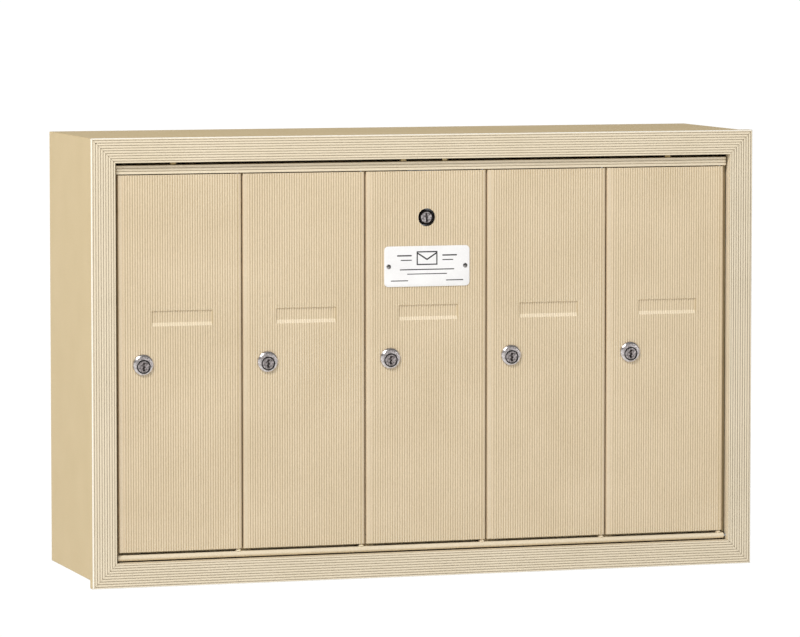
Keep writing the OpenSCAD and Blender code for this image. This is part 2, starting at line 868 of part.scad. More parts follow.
module carrier_lock_case() {
    half = carrier_case / 2;
    wall = 1.5;
    inner = carrier_case_w / 2 - wall;
    color(zinc)
        difference() {
            union() {
                block([-carrier_case_w / 2, case_front_y, carrier_z - half],
                    [carrier_case_w / 2, carrier_back, carrier_z + half]);
                bar_y(0, carrier_z, nose_front, case_front_y, nose_d / 2);
            }
            difference() {
                block([-inner, crank_front, carrier_z - half + wall],
                    [inner, carrier_back - wall, carrier_z + half - wall]);
                for (x = [-1, 1], z = [-1, 1])
                    bar_y(x * case_screw_x, carrier_z + z * case_screw_z, crank_front - cut,
                        crank_back, screw_r + 2);
            }
            bar_y(0, carrier_z, nose_front - cut, crank_front + cut, carrier_plug_r + running_fit);
            block([-neck_w / 2 - thin_gap, bolt_front - thin_gap, carrier_z + half - wall - cut],
                [neck_w / 2 + thin_gap, bolt_back + thin_gap, carrier_z + half + cut]);
            for (x = [-1, 1], z = [-1, 1])
                bar_y(x * case_screw_x, carrier_z + z * case_screw_z, case_front_y - cut,
                    crank_back + cut, screw_r + fixed_fit);
        }
}

module carrier_lock_screws() {
    color(zinc) {
        for (x = [-1, 1]) {
            bar_y(x * bracket_screw_x, bracket_screw_z, rail_back - bracket_screw_in + fixed_fit,
                case_front_y, screw_r);
            bar_y(x * bracket_screw_x, bracket_screw_z, case_front_y, case_front_y + screw_head_t,
                screw_head_r);
            for (z = [-1, 1]) {
                bar_y(x * case_screw_x, carrier_z + z * case_screw_z, rail_back, crank_back, screw_r);
                bar_y(x * case_screw_x, carrier_z + z * case_screw_z, rail_back - 1.6, rail_back,
                    screw_head_r);
            }
        }
    }
}

// The crank pin starts low on the left and ends high on the left, so a quarter turn lifts the bolt
module carrier_lock_plug() {
    color(nickel)
        difference() {
            union() {
                bar_y(0, carrier_z, nose_front + 0.4, crank_front + thin_gap, carrier_plug_r);
                bar_y(0, carrier_z, crank_front + thin_gap, crank_back, crank_disc_r);
                bar_y(-crank_rad * cos(45), carrier_z - crank_rad * sin(45), crank_back,
                    bolt_back + 0.4, crank_pin_r);
            }
            block([-0.7, nose_front - cut, carrier_z - 4.6], [0.7, nose_front + 7, carrier_z + 4.6]);
        }
}

module carrier_bolt() {
    slot_z = carrier_z - bolt_throw / 2;
    slot_half = crank_pin_r + slot_play;
    color(zinc)
        difference() {
            along_y(bolt_front, bolt_back) {
                translate([-bolt_w / 2, bolt_low])
                    square([bolt_w, bolt_shoulder - bolt_low]);
                translate([-neck_w / 2, bolt_low])
                    square([neck_w, bolt_top - bolt_low]);
            }
            block([-crank_rad - slot_half, bolt_front - cut, slot_z - slot_half],
                [-crank_rad * cos(45) + slot_half, bolt_back + cut, slot_z + slot_half]);
        }
}

// ---- One line for each node ----

back_panel();
side_panel(-1);  // side_panel_left
side_panel(1);  // side_panel_right
level_panel(1);  // top_panel
level_panel(-1);  // bottom_panel
case_rivets();
trim_level(1);  // trim_top
trim_level(-1);  // trim_bottom
trim_upright(-1);  // trim_left
trim_upright(1);  // trim_right
corner_keys();
trim_screws();
strike_bracket();
panel_pivot_pins();
closing_stops();
top_rail();
bottom_rail();
end_plate(-1);  // end_plate_left
end_plate(1);  // end_plate_right
pocket_back();
pocket_floor();
stop_studs();
door_pivot_pins();
panel_rivets();
carrier_lock_bracket();
carrier_lock_case();
carrier_lock_screws();
carrier_lock_plug();
carrier_bolt();
label_plate();
label_rivets();
for (i = [1:DOORS - 1])
    divider(i);
for (i = [1:DOORS]) {
    door_panel(i);
    lock_body(i);
    lock_nut(i);
    lock_plug(i);
    lock_cam(i);
}
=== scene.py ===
# %% [markdown]
# # An apartment mailbox unit with five doors
# Five upright doors share one shallow case. All of it has a sandstone powder coat, apart from the locks, the
# pins and fasteners, a few brackets and a white plate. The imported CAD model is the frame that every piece
# here is placed by, so this lesson is about surfaces: fine reeding on doors and trim, a coat with some grain,
# bright locks.

import math

import bmesh
import bpy
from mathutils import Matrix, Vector


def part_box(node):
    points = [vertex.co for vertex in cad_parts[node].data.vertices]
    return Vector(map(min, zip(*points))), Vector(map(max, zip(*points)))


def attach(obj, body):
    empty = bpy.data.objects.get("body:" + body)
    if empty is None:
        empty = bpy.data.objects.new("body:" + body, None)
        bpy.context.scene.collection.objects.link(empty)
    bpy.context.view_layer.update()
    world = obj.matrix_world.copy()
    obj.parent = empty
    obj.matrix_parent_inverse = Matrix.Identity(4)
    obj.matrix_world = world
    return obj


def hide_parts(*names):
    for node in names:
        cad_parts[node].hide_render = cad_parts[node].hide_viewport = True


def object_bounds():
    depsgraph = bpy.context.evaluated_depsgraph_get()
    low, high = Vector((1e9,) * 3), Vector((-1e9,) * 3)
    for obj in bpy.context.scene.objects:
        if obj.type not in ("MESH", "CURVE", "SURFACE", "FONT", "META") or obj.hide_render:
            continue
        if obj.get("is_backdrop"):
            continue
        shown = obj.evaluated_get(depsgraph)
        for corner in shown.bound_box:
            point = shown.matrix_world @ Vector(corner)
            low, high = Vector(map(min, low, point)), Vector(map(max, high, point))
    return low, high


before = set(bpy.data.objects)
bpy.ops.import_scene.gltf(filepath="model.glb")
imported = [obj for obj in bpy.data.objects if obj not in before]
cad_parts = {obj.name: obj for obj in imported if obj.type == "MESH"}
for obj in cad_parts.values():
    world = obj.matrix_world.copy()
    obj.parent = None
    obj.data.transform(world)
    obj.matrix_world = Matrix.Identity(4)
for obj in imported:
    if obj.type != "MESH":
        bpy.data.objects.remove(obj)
cad_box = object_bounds()
MM = 0.001
DOORS = range(1, 6)
print("frame:", len(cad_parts), "nodes,", [round(v / MM) for v in cad_box[1] - cad_box[0]], "mm")


# %% [markdown]
# ## Colours and nodes
# Colours are written the way a paint card gives them, as sRGB hex, and the shader wants linear light, so one
# function turns them. A second one adds a node with its settings and its links in one line, which keeps a
# material readable from top to bottom. The Mix and Map Range nodes have several sockets of one name, so
# theirs are given by number, and the numbers have names here. Every finish has two tones and ends in the
# same shader, so those two steps are functions too.

# %% Colour and node helpers
FACTOR, NUMBER_A, NUMBER_B, COLOUR_A, COLOUR_B = 0, 2, 3, 6, 7
VALUE, FROM_LOW, FROM_HIGH, TO_LOW, TO_HIGH = range(5)
COLOUR_OUT = 2


def hex_to_linear(code):
    channels = [int(code[k:k + 2], 16) / 255 for k in (1, 3, 5)]
    return tuple(c / 12.92 if c <= 0.04045 else ((c + 0.055) / 1.055) ** 2.4 for c in channels) + (1.0,)


def add_node(tree, kind, sockets=None, **settings):
    made = tree.nodes.new(kind)
    for key, value in settings.items():
        setattr(made, key, value)
    for key, value in (sockets or {}).items():
        if isinstance(value, bpy.types.NodeSocket):
            tree.links.new(value, made.inputs[key])
        else:
            made.inputs[key].default_value = value
    return made


def blank_material(name):
    """An empty material, its node tree, and the place on the piece that its patterns are drawn by."""
    material = bpy.data.materials.new(name)
    material.use_nodes = True
    tree = material.node_tree
    tree.nodes.clear()
    return material, tree, add_node(tree, "ShaderNodeTexCoord").outputs["Object"]


def two_tones(tree, factor, light, dark, low=0.0, high=1.0):
    """A pattern's dark and light, reached at low and high. Gives the colour."""
    tone = add_node(tree, "ShaderNodeMapRange", {VALUE: factor, FROM_LOW: low, FROM_HIGH: high})
    return add_node(tree, "ShaderNodeMix", {FACTOR: tone.outputs[0], COLOUR_A: hex_to_linear(dark),
                                            COLOUR_B: hex_to_linear(light)},
                    data_type="RGBA").outputs[COLOUR_OUT]


def surfaced(material, tree, height, strength, relief, sockets):
    """The end of a finish: its height as bump, in metres of relief, then the shader and the output."""
    bump = add_node(tree, "ShaderNodeBump", {"Height": height, "Strength": strength, "Distance": relief})
    shader = add_node(tree, "ShaderNodeBsdfPrincipled", {"Normal": bump.outputs[0], **sockets})
    add_node(tree, "ShaderNodeOutputMaterial", {"Surface": shader.outputs[0]})
    return material


print("sandstone in linear light:", [round(c, 3) for c in hex_to_linear("#DCCBA9")])


# %% [markdown]
# ## Sandstone powder coat
# Polyester powder is sprayed dry on the metal and baked until it flows into a thin film, though not quite
# flat. What is left is orange peel, shallow waves two to three millimetres wide, and this grade also has a
# fine sandy grain. The eye gets a soft satin sheen that breaks up over the waves. The real grain is finer
# than a render of the whole unit can hold, so it is drawn at 1.4 mm. A slow change over some centimetres
# stands for the film's uneven thickness. The gloss is a dielectric's, so its IOR is 1.5.
#
# The same coat is drawn palest on the frame's outer edge and on the sill of a name recess, as painted
# highlights, and dark in the grooves and on the end plates deep in the case, as painted shade. Each of
# these places has its own tint.

# %% Powder coat
PEEL_SIZE, GRAIN_SIZE, FILM_PATCH = 2.6 * MM, 1.4 * MM, 60 * MM
PEEL_HEIGHT = 0.02 * MM
GRAIN_IN_COLOUR, GRAIN_IN_HEIGHT = 0.7, 0.45
DIELECTRIC_IOR = 1.5


def powder_coat(name, light, dark, gloss):
    material, tree, place = blank_material(name)
    film = add_node(tree, "ShaderNodeTexNoise", {"Vector": place, "Scale": 1 / FILM_PATCH, "Detail": 3.0})
    grain = add_node(tree, "ShaderNodeTexNoise", {"Vector": place, "Scale": 1 / GRAIN_SIZE, "Detail": 4.0,
                                                  "Roughness": 0.65})
    peel = add_node(tree, "ShaderNodeTexNoise", {"Vector": place, "Scale": 1 / PEEL_SIZE, "Detail": 1.0})
    both = add_node(tree, "ShaderNodeMix", {FACTOR: GRAIN_IN_COLOUR, NUMBER_A: film.outputs["Fac"],
                                            NUMBER_B: grain.outputs["Fac"]})
    colour = two_tones(tree, both.outputs[0], light, dark, 0.3, 0.7)
    sheen = add_node(tree, "ShaderNodeMapRange", {
        VALUE: grain.outputs["Fac"], FROM_LOW: 0.25, FROM_HIGH: 0.75, TO_LOW: gloss - 0.05,
        TO_HIGH: gloss + 0.09})
    height = add_node(tree, "ShaderNodeMix", {FACTOR: GRAIN_IN_HEIGHT, NUMBER_A: peel.outputs["Fac"],
                                              NUMBER_B: grain.outputs["Fac"]})
    return surfaced(material, tree, height.outputs[0], 0.9, PEEL_HEIGHT, {
        "Base Color": colour, "Roughness": sheen.outputs[0], "IOR": DIELECTRIC_IOR})


# Where on the unit, then light, dark and roughness.
COATS = {
    "on_doors": ("#E0CEB1", "#CFBC9C", 0.38),
    "on_extrusion": ("#E8DAC0", "#D9CAAD", 0.31),
    "on_sheet": ("#DBC59A", "#CDB686", 0.58),
    # painted highlight on the trim's rounded outer edge
    "painted_highlight_on_edge": ("#F8F3E8", "#EFE8DA", 0.24),
    # painted highlight on the sloping sill of the name recess
    "painted_highlight_on_recess_sill": ("#E8D8BE", "#D9C9AB", 0.36),
    # painted shade on the end plates deep in the case
    "painted_shade_on_end_plates": ("#A39272", "#94835F", 0.6),
    # painted shade: a darker coat on the walls of the reed and trim grooves
    "painted_shade_in_rib_groove": ("#C9B793", "#B9A681", 0.6),
    "painted_shade_in_trim_groove": ("#958365", "#7F6F54", 0.6),
}
coat = {where: powder_coat("sandstone_powder_coat_" + where, *look) for where, look in COATS.items()}
print(len(coat), "powder coats: peel", PEEL_SIZE / MM, "mm, grain", GRAIN_SIZE / MM, "mm")


# %% [markdown]
# ## Bright nickel on the locks
# A cam lock is die cast zinc, turned on its face and plated with bright nickel. The face mirrors the room,
# and fine rings from the turning tool drag each reflection round the axis. The tool's real feed is about
# 0.1 mm, too fine to show, so the rings are drawn 0.5 mm apart. They are rings round the local Y axis, so
# each turned piece is built round its own origin. Finger smears a few millimetres wide dull it in patches,
# and their dark tone also stands for dark things the nickel mirrors, a painted reflection.

# %% Bright nickel
RING_FEED, RING_HEIGHT = 0.5 * MM, 0.004 * MM
SMEAR_AND_REFLECTION_SIZE = 2.2 * MM


def bright_nickel(name, light, dark, gloss):
    material, tree, place = blank_material(name)
    flat = add_node(tree, "ShaderNodeVectorMath", {0: place, 1: (1.0, 0.0, 1.0)}, operation="MULTIPLY")
    reach = add_node(tree, "ShaderNodeVectorMath", {0: flat.outputs[0]}, operation="LENGTH")
    turns = add_node(tree, "ShaderNodeMath", {0: reach.outputs["Value"], 1: 2 * math.pi / RING_FEED},
                     operation="MULTIPLY")
    rings = add_node(tree, "ShaderNodeMath", {0: turns.outputs[0]}, operation="SINE")
    smear_and_reflection = add_node(tree, "ShaderNodeTexNoise", {"Vector": place, "Scale": 1 / SMEAR_AND_REFLECTION_SIZE, "Detail": 3.0})
    colour = two_tones(tree, smear_and_reflection.outputs["Fac"], light, dark, 0.36, 0.62)
    polish = add_node(tree, "ShaderNodeMapRange", {VALUE: smear_and_reflection.outputs["Fac"], TO_LOW: gloss - 0.05,
                                                   TO_HIGH: gloss + 0.08})
    return surfaced(material, tree, rings.outputs[0], 0.6, RING_HEIGHT, {
        "Base Color": colour, "Metallic": 1.0, "Roughness": polish.outputs[0]})


# A lighter copy of the nickel for the bevelled rim, a painted highlight.
nickel_rim_painted_highlight = bright_nickel("bright_nickel_with_painted_highlight_on_lock_rim", "#E3DEDC", "#B5AEAC", 0.2)
nickel_face = bright_nickel("bright_nickel_on_turned_face", "#C9C2C1", "#7E7776", 0.24)
nickel_plug = bright_nickel("bright_nickel_on_lock_plug", "#B0A8A7", "#5F5958", 0.22)
# A copy with deeper dark patches for the carrier's plug, more painted reflection.
nickel_deeper_painted_reflection = bright_nickel("nickel_with_deeper_painted_reflection_on_carrier_plug", "#C2BBBA", "#4B4645", 0.2)
print("nickel: rings", RING_FEED / MM, "mm apart")


# %% [markdown]
# ## Zinc plated steel and plain aluminium
# Screws, cams, nuts and brackets are steel in a barrel of bright zinc, rubbed matt against each other. They
# look pale grey with soft cloudy patches and a hint of blue. The closing tabs have a yellow passivation over
# the zinc. The carrier's lock case is drawn black, painted shade for the gap round its nose, so that only
# its nose shines through the door. The plate's two rivets are bare aluminium, a little warmer and smoother,
# with dark patches that are a painted reflection of the dim room.

# %% Zinc and aluminium
ZINC_CLOUD, ZINC_SCUFF = 9 * MM, 1.2 * MM
SCUFF_HEIGHT = 0.02 * MM


def rubbed_metal(name, light, dark, gloss, cloud=ZINC_CLOUD, scuff=ZINC_SCUFF):
    material, tree, place = blank_material(name)
    clouds = add_node(tree, "ShaderNodeTexNoise", {"Vector": place, "Scale": 1 / cloud, "Detail": 5.0})
    scuffs = add_node(tree, "ShaderNodeTexNoise", {"Vector": place, "Scale": 1 / scuff, "Detail": 3.0})
    colour = two_tones(tree, clouds.outputs["Fac"], light, dark, 0.35, 0.65)
    wear = add_node(tree, "ShaderNodeMapRange", {
        VALUE: scuffs.outputs["Fac"], FROM_LOW: 0.3, FROM_HIGH: 0.7, TO_LOW: gloss - 0.08,
        TO_HIGH: gloss + 0.1})
    return surfaced(material, tree, scuffs.outputs["Fac"], 0.4, SCUFF_HEIGHT, {
        "Base Color": colour, "Metallic": 1.0, "Roughness": wear.outputs[0]})


zinc_plate = rubbed_metal("barrel_zinc_on_steel", "#C3C7CB", "#9EA4AA", 0.36)
# Its dark patches are a painted reflection of the dim room.
aluminium_with_painted_reflection = rubbed_metal("aluminium_rivet_with_painted_reflection", "#A3A19F", "#4C4A49", 0.24, 3 * MM, 0.8 * MM)
yellow_zinc = rubbed_metal("yellow_passivated_zinc_tabs", "#D9C69A", "#B79F6E", 0.4)
# Drawn black as painted shade for the gap round the carrier's nose.
black_painted_shade = rubbed_metal("black_painted_shade_on_lock_case", "#2C2726", "#171413", 0.5, 4 * MM)
print("zinc clouds", ZINC_CLOUD / MM, "mm, scuffs", ZINC_SCUFF / MM, "mm")


# %% [markdown]
# ## White enamel, black ink, acetal and graphite
# The plate is aluminium with a baked white enamel, glossy and almost even, and its sign is screen printed in
# one thick coat of black ink. The cone bushes that carry the doors are turned from cream acetal, a waxy
# plastic that light enters a little way. Mailbox locks are kept turning with graphite powder, and the matt
# black film it leaves darkens the keyway and the ring round the plug. The same black also stands for the
# shade deep in the slot and in the ring, so it is partly painted shade.

# %% Enamel, ink, acetal and graphite
RIPPLE_HEIGHT = 0.01 * MM
ACETAL_IOR = 1.48
WAX_RADIUS, WAX_DEPTH = (2.0, 1.4, 0.9), 0.5 * MM


def even_finish(name, light, dark, gloss, patch, ripple, ior=DIELECTRIC_IOR, waxy=0.0):
    material, tree, place = blank_material(name)
    tone = add_node(tree, "ShaderNodeTexNoise", {"Vector": place, "Scale": 1 / patch, "Detail": 3.0})
    waves = add_node(tree, "ShaderNodeTexNoise", {"Vector": place, "Scale": 1 / ripple, "Detail": 2.0})
    colour = two_tones(tree, tone.outputs["Fac"], light, dark)
    sheen = add_node(tree, "ShaderNodeMapRange", {VALUE: waves.outputs["Fac"], TO_LOW: gloss - 0.04,
                                                  TO_HIGH: gloss + 0.06})
    return surfaced(material, tree, waves.outputs["Fac"], 0.5, RIPPLE_HEIGHT, {
        "Base Color": colour, "Roughness": sheen.outputs[0], "IOR": ior, "Subsurface Weight": waxy,
        "Subsurface Radius": WAX_RADIUS, "Subsurface Scale": WAX_DEPTH})


white_enamel = even_finish("baked_white_enamel", "#F4F3F1", "#E9E7E6", 0.25, 25 * MM, 2 * MM)
black_ink = even_finish("screen_printed_black_ink", "#2A2728", "#1B191A", 0.45, 4 * MM, 0.8 * MM)
cream_acetal = even_finish("turned_cream_acetal", "#EFE3C8", "#E4D6B8", 0.38, 3 * MM, 0.7 * MM,
                           ACETAL_IOR, 0.15)
# Matt black for graphite in the lock, which also serves as painted shade in the slot and the ring.
graphite_and_painted_shade = even_finish("graphite_and_painted_shade_in_lock", "#161314", "#0B090A", 0.6, 1.5 * MM, 0.5 * MM)
print("wax depth", WAX_DEPTH / MM, "mm")


# %% [markdown]
# ## Mesh helpers
# Most of this unit is extruded, turned or punched, and the helpers follow those trades. One carries a section
# through a list of rings, one turns a profile round an axis, and one cuts holes. Faces are shaded smooth
# and only real edges are marked sharp, so a rounded reed looks round and a cut end stays crisp. Two more
# give chosen faces a second finish and seat a finished piece on its body.

# %% Edges and new pieces
SHARP = math.radians(33)
LEVEL = 0.1


def mark_edges(mesh, level_limit=SHARP):
    """Smooth faces with sharp real edges. Edges that lie level may have a lower limit of their own."""
    work = bmesh.new()
    work.from_mesh(mesh)
    for face in work.faces:
        face.smooth = True
    for edge in work.edges:
        along = edge.verts[1].co - edge.verts[0].co
        limit = level_limit if abs(along.z) < LEVEL * along.length else SHARP
        edge.smooth = len(edge.link_faces) == 2 and edge.calc_face_angle(0) < limit
    work.to_mesh(mesh)
    work.free()


def new_piece(name, work, material):
    bmesh.ops.recalc_face_normals(work, faces=work.faces)
    mesh = bpy.data.meshes.new(name)
    work.to_mesh(mesh)
    work.free()
    mark_edges(mesh)
    mesh.materials.append(material)
    piece = bpy.data.objects.new(name, mesh)
    bpy.context.scene.collection.objects.link(piece)
    return piece


print("edges over", round(math.degrees(SHARP)), "degrees stay crisp")

# %% Carried and turned solids
def ring_faces(work, rings):
    loops = [[work.verts.new(point) for point in ring] for ring in rings]
    for near, far in zip(loops, loops[1:]):
        for a in range(len(near)):
            b = (a + 1) % len(near)
            work.faces.new((near[a], near[b], far[b], far[a]))
    work.faces.new(reversed(loops[0]))
    work.faces.new(loops[-1])


def carried(name, rings, material):
    work = bmesh.new()
    ring_faces(work, rings)
    return new_piece(name, work, material)


def turned_faces(work, profile, centre, axis="Y", steps=72):
    """Adds a solid of revolution: profile is (radius, along) from one flat end to the other."""
    def spot(radius, along, turn):
        u, v = radius * math.cos(turn), radius * math.sin(turn)
        local = {"X": (along, u, v), "Y": (u, along, v), "Z": (u, v, along)}[axis]
        return Vector(centre) + Vector(local)

    loops = [[work.verts.new(spot(r, a, 2 * math.pi * k / steps)) for k in range(steps)]
             for r, a in profile]
    for near, far in zip(loops, loops[1:]):
        for k in range(steps):
            n = (k + 1) % steps
            work.faces.new((near[k], near[n], far[n], far[k]))
    work.faces.new(loops[0])
    work.faces.new(loops[-1])


def turned(name, profile, centre, material, axis="Y", steps=72):
    """A turned piece with its origin at centre, so that ring patterns run round its own axis."""
    work = bmesh.new()
    turned_faces(work, profile, (0, 0, 0), axis, steps)
    piece = new_piece(name, work, material)
    piece.location = centre
    return piece


print("turned pieces have their origin on their own axis")

# %% Holes and eased edges
def bores(points, radius, start, end):
    """Round holes along Y through some points, for rods."""
    return [((p.x, 0, p.z), "Y", radius, start, end) for p in points]


def rods(name, places, steps=48):
    """Round cutters: each place is (centre, axis, radius, from, to)."""
    work = bmesh.new()
    for centre, axis, radius, start, end in places:
        turned_faces(work, [(radius, start), (radius, end)], centre, axis, steps)
    return new_piece(name, work, zinc_plate)


def cut_out(piece, cutter):
    """Cuts the cutter's shape out of the piece for good, and removes the cutter."""
    bore = piece.modifiers.new("bore", "BOOLEAN")
    bore.operation, bore.solver, bore.object = "DIFFERENCE", "EXACT", cutter
    bpy.context.view_layer.update()
    mesh = bpy.data.meshes.new_from_object(piece.evaluated_get(bpy.context.evaluated_depsgraph_get()))
    piece.modifiers.clear()
    old, mesh.name = piece.data, piece.data.name + "_cut"
    piece.data = mesh
    keep = piece.data.materials[0]
    piece.data.materials.clear()
    piece.data.materials.append(keep)
    for face in piece.data.polygons:
        face.material_index = 0
    mark_edges(piece.data)
    bpy.data.meshes.remove(old)
    bpy.data.objects.remove(cutter)
    return piece


def round_edges(piece, width, segments=2, angle=40):
    bevel = piece.modifiers.new("eased_edges", "BEVEL")
    bevel.width, bevel.segments = width, segments
    bevel.limit_method, bevel.angle_limit = "ANGLE", math.radians(angle)
    bevel.harden_normals = True
    return piece


print("holes are cut for good, eased edges stay a modifier")

# %% Tints and seats
GROOVE_TILT = math.sin(math.radians(40))
FACES_FRONT = -0.05


def tint(piece, material, chosen):
    """Gives a second finish to the faces that chosen(centre, normal) picks, in the piece's space."""
    piece.data.materials.append(material)
    slot_number = len(piece.data.materials) - 1
    for face in piece.data.polygons:
        if chosen(face.center, face.normal):
            face.material_index = slot_number
    return piece


def is_groove_wall(centre, normal):
    """The steep walls of a groove in a front face, upright or level."""
    return normal.y < FACES_FRONT and max(abs(normal.x), abs(normal.z)) > GROOVE_TILT


def front_middle(low, high):
    return Vector(((low.x + high.x) / 2, low.y, (low.z + high.z) / 2))


def settle(piece, body, slot, *nodes):
    """Seats a finished piece: it rides on a body and stands for CAD nodes, which it hides. The slot argument
    is not used.
    """
    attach(piece, body)
    if nodes:
        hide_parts(*nodes)
    return piece


print("a groove's wall leans more than", round(math.degrees(math.asin(GROOVE_TILT))), "degrees")


# %% [markdown]
# ## Reading places from the frame
# A CAD node may hold several loose solids, such as twelve screws. Each piece that is rebuilt here has to sit
# exactly there, so this cell finds the box of every loose solid, on a copy of the node's mesh.

# %% Loose solids of a node
SAME_POINT = 0.001 * MM


def solids_in(node_name):
    work = bmesh.new()
    work.from_mesh(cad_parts[node_name].data)
    bmesh.ops.remove_doubles(work, verts=work.verts, dist=SAME_POINT)
    left, boxes = set(work.verts), []
    while left:
        stack, members = [left.pop()], []
        while stack:
            vert = stack.pop()
            members.append(vert.co.copy())
            for edge in vert.link_edges:
                other = edge.other_vert(vert)
                if other in left:
                    left.remove(other)
                    stack.append(other)
        low = Vector(min(p[k] for p in members) for k in range(3))
        high = Vector(max(p[k] for p in members) for k in range(3))
        boxes.append((low, high))
    work.free()
    return sorted(boxes, key=lambda box: (round(box[0].x, 5), box[0].z))


def middles(node_name):
    return [(low + high) / 2 for low, high in solids_in(node_name)]


screws = middles("trim_screws")
print("trim screws found:", len(screws))


# %% [markdown]
# ## Reeding
# Doors and trim are extruded with reeds, ribs with a narrow groove between them. A plain V groove would look
# machined. On the doors the reeds have a rounded crown. On the frame they are flat bands, and the thin steep
# grooves between them show as fine dark lines. One reed is a few points, as (place across, depth), from one
# groove to the next, and a run of reeds repeats them.

# %% Reed profile
ROUND_REED = [(-0.5, 1.0), (-0.37, 0.42), (-0.2, 0.1), (0.0, 0.0), (0.2, 0.1), (0.37, 0.42)]
FLAT_REED = [(-0.5, 1.0), (-0.44, 0.92), (-0.385, 0.12), (-0.33, 0.02), (0.0, 0.0), (0.33, 0.02),
             (0.385, 0.12), (0.44, 0.92)]


def reeds(shape, first, pitch, count, depth):
    """Points of count reeds from the groove at first: each is (across, depth below the crown)."""
    points = [(first + (k + 0.5 + u) * pitch, depth * d) for k in range(count) for u, d in shape]
    return points + [(first + count * pitch, depth)]


def arc(centre, radius, start, end, steps):
    """Points on an arc in a section, in degrees."""
    turns = [math.radians(start + (end - start) * k / steps) for k in range(steps + 1)]
    return [(centre[0] + radius * math.cos(t), centre[1] + radius * math.sin(t)) for t in turns]


print("points in a round reed:", len(ROUND_REED), "and in a flat one:", len(FLAT_REED))


# %% [markdown]
# ## Trim frame
# Four lengths of one aluminium extrusion are sawn at 45 degrees and drawn together at the corners. The
# section is a shallow channel with nine grooves in its face, a rounded outer edge that catches the light and
# carries a painted highlight, and a boss behind for the screws. The grooves meet at the mitres and turn the
# corner. The section is carried between two slanted ends, so the saw cut needs no cutting.

# %% Trim lengths
trim_low, trim_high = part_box("trim_top")
trim_face_y = trim_low.y
half_width, half_height = trim_high.x, trim_high.z
trim_width = trim_high.z - trim_low.z
lip_depth = 12 * MM
wall = 2 * MM
edge_round, inner_round = 1.3 * MM, 0.5 * MM
trim_pitch, trim_grooves = 2.7 * MM, 9
groove_depth = 0.75 * MM
boss_from, boss_to = 10 * MM, 16 * MM
boss_depth = trim_high.y - trim_face_y
mitre_play = 0.14 * MM
SCREW_BORE, PIVOT_BORE = 1.52 * MM, 1.6 * MM


def trim_section():
    """The trim's outline as (in from the outside edge, back from the face)."""
    first = (trim_width - (trim_grooves - 1) * trim_pitch) / 2
    rounded = arc((edge_round, edge_round), edge_round, 180, 270, 5)
    lip_in, lip_out, crest, foot = 0.31 * MM, 0.17 * MM, 0.09 * groove_depth, 0.92 * groove_depth
    face = reeds(FLAT_REED, first, trim_pitch, trim_grooves - 1, groove_depth)
    last = first + (trim_grooves - 1) * trim_pitch
    shoulder = [(first - lip_in, crest), (first - lip_out, foot)]
    inside = [(last + lip_out, foot), (last + lip_in, crest)]
    inside += arc((trim_width - inner_round, inner_round), inner_round, 270, 360, 3)
    rear = [(trim_width, lip_depth), (trim_width - wall, lip_depth), (trim_width - wall, wall),
            (boss_to, wall), (boss_to, boss_depth), (boss_from, boss_depth), (boss_from, wall),
            (wall, wall), (wall, lip_depth)]
    return [(0.0, lip_depth)] + rounded + shoulder + face + inside + rear


def trim_length(name, side):
    """One mitred length. side is top, bottom, left or right."""
    upright = side in ("left", "right")
    reach = (half_height if upright else half_width) - mitre_play
    out = half_width if upright else half_height
    sign = -1 if side in ("left", "bottom") else 1
    rings = []
    for end in (-1, 1):
        ring = []
        for u, v in trim_section():
            along, across, deep = end * (reach - u), sign * (out - u), trim_face_y + v
            ring.append((across, deep, along) if upright else (along, deep, across))
        rings.append(ring)
    piece = carried(name, rings, coat["on_extrusion"])
    node_low, node_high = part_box("trim_" + side)
    inside = [p for p in screws if node_low.x < p.x < node_high.x and node_low.z < p.z < node_high.z
              and (abs(p.x) > half_width - trim_width) == upright]
    holes = [((p.x, 0, p.z), "Y", SCREW_BORE, p.y - 8 * MM, p.y + 20 * MM) for p in inside]
    if upright:
        pin_low, pin_high = solids_in("panel_pivot_pins")[0 if sign < 0 else 1]
        middle = (pin_low + pin_high) / 2
        edge = sign * (half_width - trim_width)
        holes.append(((edge, middle.y, middle.z), "X", PIVOT_BORE, -wall - 1 * MM, wall + 1 * MM))
    cut_out(piece, rods("trim_bores", holes))

    def outward(vector):
        return sign * (vector.x if upright else vector.z)

    def on_outer_edge(centre, normal):
        near = out - outward(centre) < edge_round and centre.y < trim_face_y + edge_round
        return near and outward(normal) > 0.3

    def on_outer_lip(centre, normal):
        return outward(normal) > 0.9 and centre.y > trim_face_y + edge_round

    # Painted shade on the walls of the trim's grooves.
    tint(piece, coat["painted_shade_in_trim_groove"], lambda centre, normal: is_groove_wall(centre, normal)
         and centre.y < trim_face_y + groove_depth and not on_outer_edge(centre, normal))
    # Painted highlight: a paler coat on the rounded outer edge.
    tint(piece, coat["painted_highlight_on_edge"], on_outer_edge)
    tint(piece, coat["on_sheet"], on_outer_lip)
    return settle(piece, "cabinet", "trim_coat", "trim_" + side)


for side in ("top", "bottom", "left", "right"):
    trim_piece = trim_length("reeded_trim_" + side, side)
    print(trim_piece.name, len(trim_piece.data.polygons), "faces")


# %% [markdown]
# ## Rails
# The top rail is a small extrusion with three broad reeds. The bottom rail ends in a round bead, which is
# also the hinge that the whole front tilts on. Both are carried along X with a little ease at the ends, then
# bored for the pins that the doors turn on, and from behind for rivets and screws.

# %% Rails
rail_low, rail_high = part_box("top_rail")
panel_y, rail_back = rail_low.y, rail_high.y
door_pins = solids_in("door_pivot_pins")
pin_places = sorted({(round((a.x + b.x) / 2, 5), round((a.y + b.y) / 2, 5)) for a, b in door_pins})
plate_rivets, lock_screws = middles("panel_rivets"), middles("carrier_lock_screws")
DOOR_PIN_BORE, PIN_HEAD_BORE, PIN_SEAT_BORE = 1.35 * MM, 2.35 * MM, 1.3 * MM
RIVET_BORE, SMALL_BORE = 1.65 * MM, 1.55 * MM


